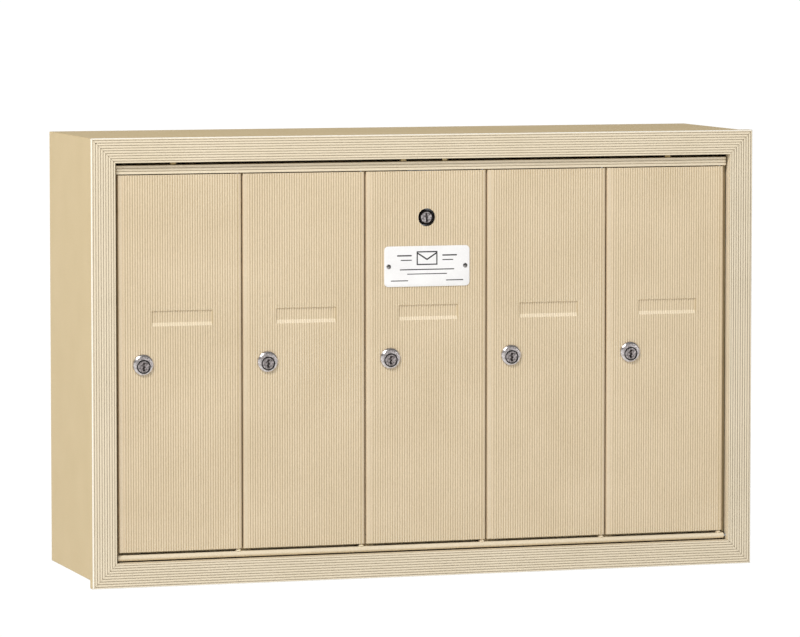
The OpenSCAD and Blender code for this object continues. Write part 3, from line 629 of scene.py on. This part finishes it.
def pin_bores_at(places, radius, start, end):
    return [((x, y, 0), "Z", radius, start, end) for x, y in places]


def carry_along_x(name, outline, x0, x1, material):
    ease = 0.3 * MM
    middle = [sum(p[k] for p in outline) / len(outline) for k in (0, 1)]

    def ring(x, inset):
        points = []
        for y, z in outline:
            away = Vector((y - middle[0], z - middle[1]))
            pull = away.normalized() * inset if away.length > inset else Vector((0, 0))
            points.append((x, y - pull.x, z - pull.y))
        return points

    rings = [ring(x0, ease), ring(x0 + ease, 0), ring(x1 - ease, 0), ring(x1, ease)]
    return carried(name, rings, material)


rail_pitch = (rail_high.z - rail_low.z) / 3
top_outline = [(rail_back, rail_low.z), (rail_back, rail_high.z)]
top_outline += [(panel_y + 1.0 * MM, rail_high.z), (panel_y + 0.35 * MM, rail_high.z - 0.25 * MM)]
for reed in (2, 1, 0):
    base = rail_low.z + reed * rail_pitch
    crown = [(0.62, 0.93), (0.1, 0.88), (0.0, 0.5), (0.1, 0.12), (0.62, 0.07)]
    top_outline += [(panel_y + d * MM, base + u * rail_pitch) for d, u in crown]
    top_outline += [(panel_y + groove_depth, base)]
top_rail = carry_along_x("reeded_top_rail", top_outline, rail_low.x, rail_high.x, coat["on_extrusion"])
for name, radius, start in (("pin_bores", DOOR_PIN_BORE, rail_low.z - 2 * MM),
                            ("pin_head_bores", PIN_HEAD_BORE, rail_high.z - 1.25 * MM)):
    cut_out(top_rail, rods(name, pin_bores_at(pin_places, radius, start, rail_high.z + 2 * MM)))
backs = bores([p for p in plate_rivets if p.z > 0], RIVET_BORE, rail_back - 2.7 * MM, rail_back + 5 * MM)
backs += bores([p for p in lock_screws if p.z > rail_low.z], SMALL_BORE, rail_back - 4.1 * MM,
               rail_back + 5 * MM)
cut_out(top_rail, rods("rivet_bores", backs))
# Painted shade on the walls of the rail's grooves.
tint(top_rail, coat["painted_shade_in_trim_groove"], is_groove_wall)
settle(top_rail, "front_panel", "trim_coat", "top_rail")
print("top rail:", len(top_rail.data.polygons), "faces")

# %% Bottom rail with its bead
bead_low, bead_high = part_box("bottom_rail")
bead_radius = (bead_high.z - bead_low.z) / 2
axis_y, axis_z = bead_low.y + bead_radius, bead_low.z + bead_radius
foot_drop = 2.5 * MM
foot_angle = math.degrees(math.asin(foot_drop / bead_radius))
bead_outline = [(rail_back, bead_high.z)] + arc((axis_y, axis_z), bead_radius, 90, 360 - foot_angle, 40)
bead_outline += [(rail_back, axis_z - foot_drop)]
bead_rail = carry_along_x("hinge_bead_rail", bead_outline, bead_low.x, bead_high.x, coat["on_extrusion"])
pin_holes = [((0, axis_y, axis_z), "X", PIVOT_BORE, s * (bead_high.x - 4.2 * MM),
              s * (bead_high.x + 1 * MM)) for s in (-1, 1)]
pin_holes += pin_bores_at(pin_places, PIN_SEAT_BORE, bead_high.z - 3.2 * MM, bead_high.z + 2 * MM)
pin_holes += bores([p for p in plate_rivets if p.z < 0], RIVET_BORE, rail_back - 2.7 * MM,
                   rail_back + 5 * MM)
cut_out(bead_rail, rods("bead_bores", pin_holes))
settle(bead_rail, "front_panel", "trim_coat", "bottom_rail")
print("bead rail:", len(bead_rail.data.polygons), "faces, bead", round(2 * bead_radius / MM, 1), "mm")


# %% [markdown]
# ## Door pins and bushes
# Each door turns on two short steel pins. The lower pin carries a small cream cone that the door stands on,
# a light tick in the seam under each door. Both are turned round Z from the boxes of the CAD pins.

# %% Door pins and bushes
pin_radius, pin_head, head_deep = 1.2 * MM, 2.2 * MM, 1.2 * MM
cone_tall, cone_rim = 2.5 * MM, 0.6 * MM


def door_hardware():
    steel, acetal = bmesh.new(), bmesh.new()
    for low, high in door_pins:
        centre = ((low.x + high.x) / 2, (low.y + high.y) / 2, 0)
        ease = 0.25 * MM
        foot_end = [(pin_radius - ease, low.z), (pin_radius, low.z + ease)]
        if low.z < 0:
            turned_faces(steel, foot_end + [(pin_radius, high.z - ease), (pin_radius - ease, high.z)],
                         centre, "Z", 32)
            foot, tip = bead_high.z, bead_high.z + cone_tall
            cone = (high.x - low.x) / 2
            turned_faces(acetal, [(pin_radius + 0.02 * MM, foot), (cone - ease, foot), (cone, foot + ease),
                                  (cone, foot + cone_rim), (cone - 0.3 * MM, foot + 0.95 * MM),
                                  (pin_radius + 0.45 * MM, tip - 0.2 * MM), (pin_radius + 0.1 * MM, tip)],
                         centre, "Z", 40)
        else:
            under = high.z - head_deep
            turned_faces(steel, foot_end + [(pin_radius, under), (pin_head, under),
                                            (pin_head, high.z - ease), (pin_head - ease, high.z)],
                         centre, "Z", 32)
    pins = new_piece("door_pins_turned", steel, zinc_plate)
    bushes = new_piece("door_cone_bushes", acetal, cream_acetal)
    settle(pins, "front_panel", "zinc_steel", "door_pivot_pins")
    settle(bushes, "front_panel", "door_coat")
    return pins, bushes


for made in door_hardware():
    print(made.name, len(made.data.polygons), "faces")


# %% [markdown]
# ## Doors
# A door is one wide extrusion: forty six reeds, a folded lip at the free edge and a round barrel for the
# pins at the right. The name recess is coined into it afterwards, so the reeds run on across its floor, and
# along the bottom it slopes out and shows a bright line, with a painted highlight on the slope. A boolean
# would cut the reeds off flat. Here the section is carried up the door in rows, and the rows inside the
# recess push the front points back.

# %% Door section and rows
skin = 2.4 * MM
barrel_radius = 4 * MM
lip_thick = 1.6 * MM
rib_pitch, rib_count = 2.68 * MM, 46
rib_depth = 0.7 * MM
recess_wide, recess_high, recess_deep, recess_slope = 65.3 * MM, 16.2 * MM, 1.2 * MM, 3.8 * MM
recess_drop, recess_right = 149.2 * MM, 1.6 * MM
step = 0.4 * MM
hook_out, hook_up = (2.2 * MM, 3.6 * MM, 4.2 * MM), (7.34 * MM, 5.74 * MM)


def recess_depth(across, up):
    """How far the recess pushes the face back, from its left edge and its bottom edge."""
    side_in = min(across, recess_wide - across) / step
    below_top = (recess_high - up) / step
    return recess_deep * max(0.0, min(1.0, side_in, up / recess_slope, below_top))


def door_front(low, high):
    """Front points of the section as (x, depth), with extra ones where the recess steps down."""
    start = (high.x - low.x - rib_count * rib_pitch) / 2
    run = [(low.x + u, d) for u, d in reeds(ROUND_REED, start, rib_pitch, rib_count, rib_depth)]
    run = [p for p in run if p[0] < high.x - barrel_radius - 0.1 * MM]
    left = (low.x + high.x) / 2 + recess_right - recess_wide / 2
    steps = [left, left + step, left + recess_wide - step, left + recess_wide]
    for x in steps:
        for (xa, da), (xb, db) in zip(run, run[1:]):
            if xa < x < xb:
                run.append((x, da + (db - da) * (x - xa) / (xb - xa)))
                break
    return sorted(run), left


def door_rings(low, high):
    front, left = door_front(low, high)
    pivot = (high.x - barrel_radius, low.y + barrel_radius)
    recess_z = high.z - recess_drop - recess_high / 2
    ease = 0.35 * MM
    rows = [(low.z, ease), (low.z + ease, 0.0), (recess_z, 0.0), (recess_z + recess_slope, 0.0),
            (recess_z + recess_high - step, 0.0), (recess_z + recess_high, 0.0), (high.z - ease, 0.0),
            (high.z, ease)]
    barrel = arc(pivot, barrel_radius, -90, 90, 20)
    rear_y, lip_y = low.y + skin, high.y
    rings = []
    for z, inset in rows:
        ring = [(low.x, low.y + 0.5 * MM + inset, z), (low.x + 0.15 * MM, low.y + 0.15 * MM + inset, z),
                (low.x + 0.5 * MM, low.y + inset, z)]
        for x, d in front:
            push = recess_depth(x - left, z - recess_z) if recess_z < z < recess_z + recess_high else 0.0
            ring.append((x, low.y + d + push + inset, z))
        for x, y in barrel:
            away = Vector((x - pivot[0], y - pivot[1])).normalized() * inset
            ring.append((x - away.x, y - away.y, z))
        ring += [(pivot[0] - out, y, z) for out, y in
                 zip(hook_out, (low.y + hook_up[0], low.y + hook_up[1], rear_y))]
        ring += [(low.x + lip_thick, rear_y, z), (low.x + lip_thick, lip_y, z), (low.x, lip_y, z)]
        rings.append(ring)
    return rings


door_low, door_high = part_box("door_1_panel")
print("door", [round(v / MM, 1) for v in door_high - door_low], "mm, section of",
      len(door_rings(door_low, door_high)[0]), "points")

# %% Make the five doors
carrier_low, carrier_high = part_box("carrier_lock_plug")
carrier_centre = (carrier_low + carrier_high) / 2
label_rivets = middles("label_rivets")
LOCK_HOLE, NOSE_HOLE = 9.55 * MM, 9.5 * MM
SLOPE_FOLD = math.radians(8)


def ribbed_door(number):
    low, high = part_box(f"door_{number}_panel")
    door = carried(f"reeded_door_{number}", door_rings(low, high), coat["on_doors"])
    lock_low, lock_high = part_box(f"lock_{number}_body")
    lock = (lock_low + lock_high) / 2
    through = (low.y - 5 * MM, low.y + 12 * MM)
    holes = bores([lock], LOCK_HOLE, *through)
    if number == 3:
        holes += bores([carrier_centre], NOSE_HOLE, *through) + bores(label_rivets, SMALL_BORE, *through)
    cut_out(door, rods("lock_holes", holes, 64))
    x, y = high.x - barrel_radius, low.y + barrel_radius
    ends = (low.z - 2 * MM, low.z + 10 * MM), (high.z - 10 * MM, high.z + 2 * MM)
    cut_out(door, rods("pin_bores", [((x, y, 0), "Z", DOOR_PIN_BORE, *end) for end in ends], 32))
    # Painted shade on the walls of the door's reed grooves.
    tint(door, coat["painted_shade_in_rib_groove"], lambda centre, normal: is_groove_wall(centre, normal)
         and centre.y < low.y + rib_depth + recess_deep and centre.x < x - 0.2 * MM
         and centre.x > low.x + 1 * MM and abs(normal.z) < 0.5)
    sill = high.z - recess_drop - recess_high / 2
    # Painted highlight: a paler coat on the recess's sloping sill.
    tint(door, coat["painted_highlight_on_recess_sill"], lambda centre, normal: sill < centre.z < sill + recess_slope
         and 0.15 < normal.z and normal.y < -0.5)
    mark_edges(door.data, SLOPE_FOLD)
    return settle(door, f"door_{number}", "door_coat", f"door_{number}_panel")


for number in DOORS:
    print("door", number, len(ribbed_door(number).data.polygons), "faces")


# %% [markdown]
# ## Tenant locks
# The lock's face is a turned disc with a broad bevelled rim. Its plug sits below the centre, in a
# counterbore that reads as a dark ring, with graphite and painted shade in it. The keyway is a zigzag slot,
# cut right into the plug so that its depth makes it dark, with graphite and painted shade on its walls. Key
# numbers on the face are left out.

# %% Lock bodies
RIM_WIDTH, HEAD_DEEP, LOCK_BARREL = 2.3 * MM, 3 * MM, 9.5 * MM
RING_WIDTH, RING_DEPTH, PLUG_PLAY = 1.0 * MM, 1.2 * MM, 0.08 * MM
plug_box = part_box("lock_1_plug")
plug_radius = (plug_box[1].x - plug_box[0].x) / 2


def lock_body(number):
    low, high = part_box(f"lock_{number}_body")
    plug_low, plug_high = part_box(f"lock_{number}_plug")
    centre = front_middle(low, high)
    plug = (plug_low + plug_high) / 2
    radius, deep = (high.x - low.x) / 2, high.y - low.y
    ring, chamfer = plug_radius + RING_WIDTH, 0.5 * MM
    rim = [(radius - RIM_WIDTH, 0.0), (radius - 2.0 * MM, 0.08 * MM), (radius - 0.55 * MM, 1.25 * MM),
           (radius - 0.18 * MM, 1.6 * MM), (radius, 2.0 * MM)]
    profile = rim + [(radius, HEAD_DEEP), (LOCK_BARREL, HEAD_DEEP), (LOCK_BARREL, deep - chamfer),
                     (LOCK_BARREL - chamfer, deep)]
    body = turned(f"tenant_lock_{number}", profile, centre, nickel_face, steps=96)
    axis = (plug.x, centre.y, plug.z)
    cut_out(body, rods("plug_bore", [(axis, "Y", plug_radius + PLUG_PLAY, -1 * MM, deep + 1 * MM)], 64))
    cut_out(body, rods("plug_counterbore", [(axis, "Y", ring, -1 * MM, RING_DEPTH)], 64))
    eccentric = plug.z - centre.z

    def from_plug(point):
        return math.hypot(point.x, point.z - eccentric)

    # Graphite and painted shade in the counterbore round the plug.
    tint(body, graphite_and_painted_shade, lambda at, normal: at.y > 0.1 * MM and from_plug(at) < ring + 0.05 * MM)
    # Painted highlight: the bevelled rim gets the lighter nickel.
    tint(body, nickel_rim_painted_highlight, lambda at, normal: at.y < HEAD_DEEP
         and math.hypot(at.x, at.z) > radius - RIM_WIDTH)
    round_edges(body, 0.12 * MM)
    return settle(body, f"door_{number}", "lock_face", f"lock_{number}_body")


for number in DOORS:
    print("lock", number, len(lock_body(number).data.polygons), "faces")


# %% Keyways
TENANT_JOGS = (0.5, 0.35, -0.6, -0.1, 0.7, -0.7, -0.2, 0.2)
CARRIER_JOGS = (-0.1, -0.25, 0.0, 0.3, 0.1, 0.35, 0.6, 0.0)


def slot_cutter(name, centre, half, tall, deep, jogs):
    """A zigzag keyway: jogs are the shifts to the left or right, from top to bottom."""
    levels = [tall - 2 * tall * k / (len(jogs) - 1) for k in range(len(jogs))]
    right = [(jog * MM + half, z) for jog, z in zip(jogs, levels)]
    left = [(jog * MM - half, z) for jog, z in zip(jogs, levels)]
    outline = left + right[::-1]
    rings = [[(centre[0] + x, centre[1] + y, centre[2] + z) for x, z in outline] for y in (-1 * MM, deep)]
    return carried(name, rings, zinc_plate)


def in_keyway(at, radius):
    """Walls and floor of the slot, in the space of a plug that is turned round its own origin."""
    return 0.15 * MM < at.y < 8 * MM and math.hypot(at.x, at.z) < radius - 0.7 * MM


def in_ring_gap(at, radius, normal):
    """The plug's own side wall, as far as the counterbore shows it."""
    return at.y > 0.25 * MM and math.hypot(at.x, at.z) > radius - 0.1 * MM and abs(normal.y) < 0.5


def darken_with_graphite_and_shade(plug, radius):
    """Graphite and painted shade in the slot and on the plug's wall."""
    return tint(plug, graphite_and_painted_shade, lambda at, normal: in_keyway(at, radius)
                or in_ring_gap(at, radius, normal))


print("tenant keyway jogs", TENANT_JOGS, "mm")

# %% Tenant plugs
TAIL, STUD, CAM_SCREW_BORE = 4.5 * MM, 3 * MM, 1.65 * MM


def lock_plug(number):
    low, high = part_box(f"lock_{number}_plug")
    centre = front_middle(low, high)
    body_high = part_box(f"lock_{number}_body")[1].y - low.y
    deep, r = high.y - low.y, plug_radius
    tail_from, tail_to = body_high + 0.3 * MM, deep - 1.5 * MM
    profile = [(r - 0.6 * MM, 0.0), (r - 0.25 * MM, 0.1 * MM), (r, 0.4 * MM), (r, tail_from),
               (TAIL, tail_from), (TAIL, tail_to), (STUD, tail_to), (STUD, deep)]
    plug = turned(f"tenant_plug_{number}", profile, centre, nickel_plug, steps=80)
    cut_out(plug, slot_cutter("keyway", centre, 1.4 * MM, 4.4 * MM, 6 * MM, TENANT_JOGS))
    darken_with_graphite_and_shade(plug, r)
    cut_out(plug, rods("cam_screw_hole", [(centre, "Y", CAM_SCREW_BORE, body_high - 2 * MM,
                                           deep + 1 * MM)], 32))
    round_edges(plug, 0.1 * MM)
    return settle(plug, f"plug_{number}", "lock_face", f"lock_{number}_plug")


for number in DOORS:
    print("plug", number, len(lock_plug(number).data.polygons), "faces")


# %% [markdown]
# ## Carrier lock
# The carrier's lock sits on the tilting panel, behind the middle door, and its nose shows through a larger
# hole. The gap round the nose makes the dark ring, with the case behind it drawn black as painted shade.
# The plug is turned, with a zigzag keyway and a small dimple beside it, and the disc behind it carries the
# crank pin that lifts the bolt.

# %% Carrier plug and crank
CARRIER_PLUG, DISC_THICK, DIMPLE = 6.2 * MM, 1.7 * MM, 0.75 * MM
CRANK_PIN, CRANK_PIN_LONG = 1.5 * MM, 3.2 * MM


def carrier_plug():
    centre = Vector((carrier_centre.x, carrier_low.y, carrier_centre.z))
    deep = carrier_high.y - carrier_low.y
    disc = (carrier_high.x - carrier_low.x) / 2
    crank = disc - 2.2 * MM
    r, ease, disc_to = CARRIER_PLUG, 0.2 * MM, deep - CRANK_PIN_LONG
    disc_from = disc_to - DISC_THICK
    profile = [(r - 0.7 * MM, 0.0), (r - 0.3 * MM, 0.1 * MM), (r, 0.45 * MM), (r, disc_from),
               (disc - ease, disc_from), (disc, disc_from + ease), (disc, disc_to - ease),
               (disc - ease, disc_to)]
    plug = turned("carrier_plug_turned", profile, centre, nickel_deeper_painted_reflection, steps=80)
    cut_out(plug, slot_cutter("keyway", centre, 1.15 * MM, 4.8 * MM, 7 * MM, CARRIER_JOGS))
    darken_with_graphite_and_shade(plug, r)
    cut_out(plug, rods("dimple", [((centre.x - 2.6 * MM, centre.y, centre.z - 2.8 * MM), "Y", DIMPLE,
                                   -1 * MM, 0.8 * MM)], 24))
    round_edges(plug, 0.1 * MM)
    settle(plug, "carrier_plug", "lock_face", "carrier_lock_plug")
    side = crank * math.sin(math.radians(45))
    pin = turned("carrier_crank_pin", [(CRANK_PIN - ease, 0.0), (CRANK_PIN, ease),
                                       (CRANK_PIN, CRANK_PIN_LONG - ease),
                                       (CRANK_PIN - ease, CRANK_PIN_LONG)],
                 Vector((centre.x - side, centre.y + disc_to, centre.z - side)), zinc_plate, steps=40)
    settle(pin, "carrier_plug", "zinc_steel")
    return plug, pin


for made in carrier_plug():
    print(made.name, len(made.data.polygons), "faces")


# %% [markdown]
# ## Label plate
# A small aluminium plate in white enamel, riveted to the middle door. Its sign is an envelope with rules,
# the plainest way to say post, and no words. Ink is a film, so each shape is a very thin solid that stands
# 0.04 mm proud of the enamel.

# %% Label plate
plate_low, plate_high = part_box("label_plate")
plate_mid = (plate_low + plate_high) / 2
plate_width, plate_height = plate_high.x - plate_low.x, plate_high.z - plate_low.z
corner_radius, plate_ease = 4.5 * MM, 0.25 * MM


def rounded_outline(width, height, radius, steps=10):
    points = []
    for turn, (sx, sz) in enumerate(((1, 1), (-1, 1), (-1, -1), (1, -1))):
        corner = (sx * (width / 2 - radius), sz * (height / 2 - radius))
        points += arc(corner, radius, turn * 90, turn * 90 + 90, steps)
    return points


def flat_plate(name, outline, front, rear, ease, material):
    def ring(y, inset):
        return [(plate_mid.x + x * (1 - inset / (plate_width / 2)), y,
                 plate_mid.z + z * (1 - inset / (plate_height / 2))) for x, z in outline]

    return carried(name, [ring(rear, 0), ring(front + ease, 0), ring(front + ease * 0.3, ease * 0.3),
                          ring(front, ease)], material)


plate = flat_plate("label_plate_enamelled", rounded_outline(plate_width, plate_height, corner_radius),
                   plate_low.y, plate_high.y, plate_ease, white_enamel)
cut_out(plate, rods("plate_holes", bores(label_rivets, SMALL_BORE, plate_low.y - 1 * MM,
                                         plate_high.y + 1 * MM), 32))
settle(plate, "door_3", "label", "label_plate")
print("plate", round(plate_width / MM, 1), "by", round(plate_height / MM, 1), "mm")

# %% Printed sign
INK_FILM = 0.04 * MM


def ink_shapes():
    """Closed outlines of the print, in millimetres from the plate's middle."""
    def bar(x0, z0, x1, z1):
        return [(x0, z0), (x1, z0), (x1, z1), (x0, z1)]

    def rule(side, near, far, low_z, high_z):
        return bar(min(side * near, side * far), low_z, max(side * near, side * far), high_z)

    left, right, low, high, line, corner = -11.5, 11.5, 1.2, 15.8, 1.3, 1.7
    shapes = [bar(left, low, right, low + line), bar(left, high - line, right, high),
              bar(left, low + line, left + line, high - line),
              bar(right - line, low + line, right, high - line)]
    flap = 6.2
    shapes.append([(left + line, high - line), (left + line, high - line - corner), (0, flap),
                   (right - line, high - line - corner), (right - line, high - line), (0, flap + 1.8)])
    for side in (-1, 1):
        for near, far, low_z, high_z in ((17, 33, 10.6, 12.0), (17, 29, 6.0, 7.0),
                                         (21, 40, -15.6, -14.6)):
            shapes.append(rule(side, near, far, low_z, high_z))
    return shapes + [bar(-30, -4.0, 30, -2.9), bar(-22, -8.6, 22, -7.7)]


def print_sign():
    work = bmesh.new()
    for outline in ink_shapes():
        rings = [[(plate_mid.x + x * MM, y, plate_mid.z + z * MM) for x, z in outline]
                 for y in (plate_low.y + 0.1 * MM, plate_low.y - INK_FILM)]
        ring_faces(work, rings)
    sign = new_piece("printed_envelope_sign", work, black_ink)
    return settle(sign, "door_3", "label")


print("ink shapes:", len(ink_shapes()), "faces", len(print_sign().data.polygons))

# %% Plate rivets
DOME_TURNS = (46, 62, 78, 90)
SHANK, TAIL_HEAD = 1.5 * MM, 1 * MM


def plate_rivet(number, low, high):
    centre = front_middle(low, high)
    head, deep = (high.x - low.x) / 2, high.y - low.y
    under = plate_low.y - low.y
    dome = [(head * math.sin(math.radians(t)), under * (1 - math.cos(math.radians(t))))
            for t in DOME_TURNS]
    dent = [(0.9 * MM, 0.22 * MM), (1.0 * MM, 0.03 * MM)]
    tail = [(SHANK, under), (SHANK, deep - TAIL_HEAD), (head, deep - TAIL_HEAD), (head, deep - 0.3 * MM),
            (head - 0.4 * MM, deep)]
    rivet = turned(f"label_rivet_{number}", dent + dome + tail, centre, aluminium_with_painted_reflection, steps=48)
    return settle(rivet, "door_3", "rivet")


rivets = [plate_rivet(k + 1, low, high) for k, (low, high) in enumerate(solids_in("label_rivets"))]
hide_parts("label_rivets")
print("plate rivets:", [r.name for r in rivets])


# %% [markdown]
# ## Sheet metal and hardware that stay as packed
# The case sheets, pocket plates, screws, cams and nuts have the right shape already, so they keep their CAD
# mesh and get their finish. It has a separate corner for each face, so the corners are welded before the
# edges are eased, and a fold gets a larger ease than a stamped edge. The back lies flush between the folds
# of the others, and its edges stay as packed.

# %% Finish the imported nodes
SHEETS = ["side_panel_left", "side_panel_right", "top_panel", "bottom_panel"]
JAMBS = ["end_plate_left", "end_plate_right"]
PLATES = ["pocket_back", "pocket_floor"] + [f"divider_{k}" for k in range(1, 5)]
FASTENERS = ["trim_screws", "case_rivets", "panel_pivot_pins", "stop_studs", "panel_rivets",
             "carrier_lock_screws"]
BRACKETS = ["strike_bracket", "corner_keys", "carrier_lock_bracket", "carrier_bolt"]
LOCK_PARTS = [f"lock_{n}_{part}" for n in DOORS for part in ("nut", "cam")]
CORNER_GAP = 0.002 * MM


def finish_packed(names, material, ease):
    for name in names:
        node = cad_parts[name]
        node.data.materials.clear()
        node.data.materials.append(material)
        if ease > 0:
            weld = node.modifiers.new("weld_corners", "WELD")
            weld.merge_threshold = CORNER_GAP
            round_edges(node, ease)
    print(len(names), "packed nodes in", material.name)


# The end plates take a darker coat, painted shade for the jamb seen in the gap beside the doors.
for names, material, ease in ((["back_panel"], coat["on_sheet"], 0.0), (SHEETS, coat["on_sheet"], 0.5),
                              (JAMBS, coat["painted_shade_on_end_plates"], 0.25), (PLATES, coat["on_sheet"], 0.25)):
    finish_packed(names, material, ease * MM)
# The carrier's lock case takes the black finish, painted shade for the gap round its nose.
for names, material in ((FASTENERS, zinc_plate), (BRACKETS, zinc_plate), (["closing_stops"], yellow_zinc),
                        (["carrier_lock_case"], black_painted_shade), (LOCK_PARTS, zinc_plate)):
    finish_packed(names, material, 0.2 * MM)


# %% [markdown]
# ## Studio
# A white room, a large softbox above and to the left of the camera and a weak one on the right. The pale
# floor lies well below the unit, which hangs on a wall. It is opal acrylic with a little light from below,
# to stay pale where the softboxes don't reach. The room is dimmer overhead and far to the right, so that the
# locks have something darker to mirror.

# %% Floor
FLOOR_DROP, FLOOR_RADIUS, FLOOR_THICK = 0.9, 3.2, 0.02
OPAL_CLOUD, OPAL_GLOW = 0.3, 0.2


def opal_sheet():
    material, tree, place = blank_material("opal_acrylic_lit_from_below")
    cloud = add_node(tree, "ShaderNodeTexNoise", {"Vector": place, "Scale": 1 / OPAL_CLOUD, "Detail": 3.0})
    colour = two_tones(tree, cloud.outputs["Fac"], "#F8F8F6", "#F2F1EF")
    return surfaced(material, tree, cloud.outputs["Fac"], 0.0, PEEL_HEIGHT, {
        "Base Color": colour, "Roughness": 0.9, "Emission Color": hex_to_linear("#FFFFFF"),
        "Emission Strength": OPAL_GLOW})


floor_work = bmesh.new()
turned_faces(floor_work, [(FLOOR_RADIUS, 0.0), (FLOOR_RADIUS, -FLOOR_THICK)],
             (0, 0, cad_box[0].z - FLOOR_DROP), "Z", 128)
floor = new_piece("studio_floor", floor_work, opal_sheet())
floor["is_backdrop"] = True
print("floor", FLOOR_DROP, "m under the unit")

# %% Room light
LOW_LIGHT, OVERHEAD_LIGHT, RIGHT_LIGHT = 1.03, 0.26, 0.82
world = bpy.data.worlds.new("white_room")
bpy.context.scene.world = world
world.use_nodes = True
room = world.node_tree
room.nodes.clear()
direction = add_node(room, "ShaderNodeTexCoord").outputs["Generated"]
parts = add_node(room, "ShaderNodeSeparateXYZ", {0: direction})
upward = add_node(room, "ShaderNodeMapRange", {
    VALUE: parts.outputs["Z"], FROM_LOW: 0.02, FROM_HIGH: 0.35, TO_LOW: LOW_LIGHT,
    TO_HIGH: OVERHEAD_LIGHT}, interpolation_type="SMOOTHSTEP")
rightward = add_node(room, "ShaderNodeMapRange", {
    VALUE: parts.outputs["X"], FROM_LOW: 0.45, FROM_HIGH: 0.95, TO_LOW: 1.0,
    TO_HIGH: RIGHT_LIGHT}, interpolation_type="SMOOTHSTEP")
level = add_node(room, "ShaderNodeMath", {0: upward.outputs[0], 1: rightward.outputs[0]},
                 operation="MULTIPLY")
glow = add_node(room, "ShaderNodeBackground", {"Color": hex_to_linear("#FFFFFF"),
                                               "Strength": level.outputs[0]})
add_node(room, "ShaderNodeOutputWorld", {"Surface": glow.outputs[0]})
print("room light", LOW_LIGHT, "low down,", OVERHEAD_LIGHT, "overhead")


# %% Softboxes
def softbox(name, place, target, width, height, watts):
    light = bpy.data.lights.new(name, "AREA")
    light.shape, light.size, light.size_y = "RECTANGLE", width, height
    light.energy, light.color = watts, hex_to_linear("#FFFFFF")[:3]
    lamp = bpy.data.objects.new(name, light)
    lamp.location = place
    lamp.rotation_euler = (Vector(target) - Vector(place)).to_track_quat("-Z", "Y").to_euler()
    bpy.context.scene.collection.objects.link(lamp)
    return lamp


middle = (cad_box[0] + cad_box[1]) / 2
softbox("key_softbox", (-2.3, -2.7, 3.5), middle, width=1.2, height=1.0, watts=178)
softbox("side_softbox", (2.6, -3.4, 0.9), middle, width=0.5, height=1.6, watts=8)
print("two softboxes aimed at", [round(v, 3) for v in middle])


# %% [markdown]
# ## Camera
# A long lens from five and a half metres, a little to the left and a little above, keeps the sides nearly
# parallel. It needs no shift.

# %% Camera
SENSOR, FOCAL = 36.0, 226.2
TURN, TILT = math.radians(-17.33), math.radians(4.53)
camera_data = bpy.data.cameras.new("long_lens")
camera_data.sensor_width, camera_data.lens = SENSOR, FOCAL
camera_data.clip_start, camera_data.clip_end = 0.1, 100
camera = bpy.data.objects.new("studio_camera", camera_data)
camera.location = (-1.602, -5.233, 0.458)
aim = Vector((-math.sin(TURN) * math.cos(TILT), math.cos(TURN) * math.cos(TILT), -math.sin(TILT)))
camera.rotation_euler = aim.to_track_quat("-Z", "Y").to_euler()
bpy.context.scene.collection.objects.link(camera)
bpy.context.scene.camera = camera
bpy.context.scene.view_settings.view_transform = "Standard"
print("camera", [round(v, 3) for v in camera.location])

# %% [markdown]
# ## Close
# The finished unit is compared with the CAD box, because finishes must not make it grow.

# %% Sizes and finish
look_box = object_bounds()
growth = (look_box[1] - look_box[0]) - (cad_box[1] - cad_box[0])
print("grown by", [round(v / MM, 3) for v in growth], "mm")
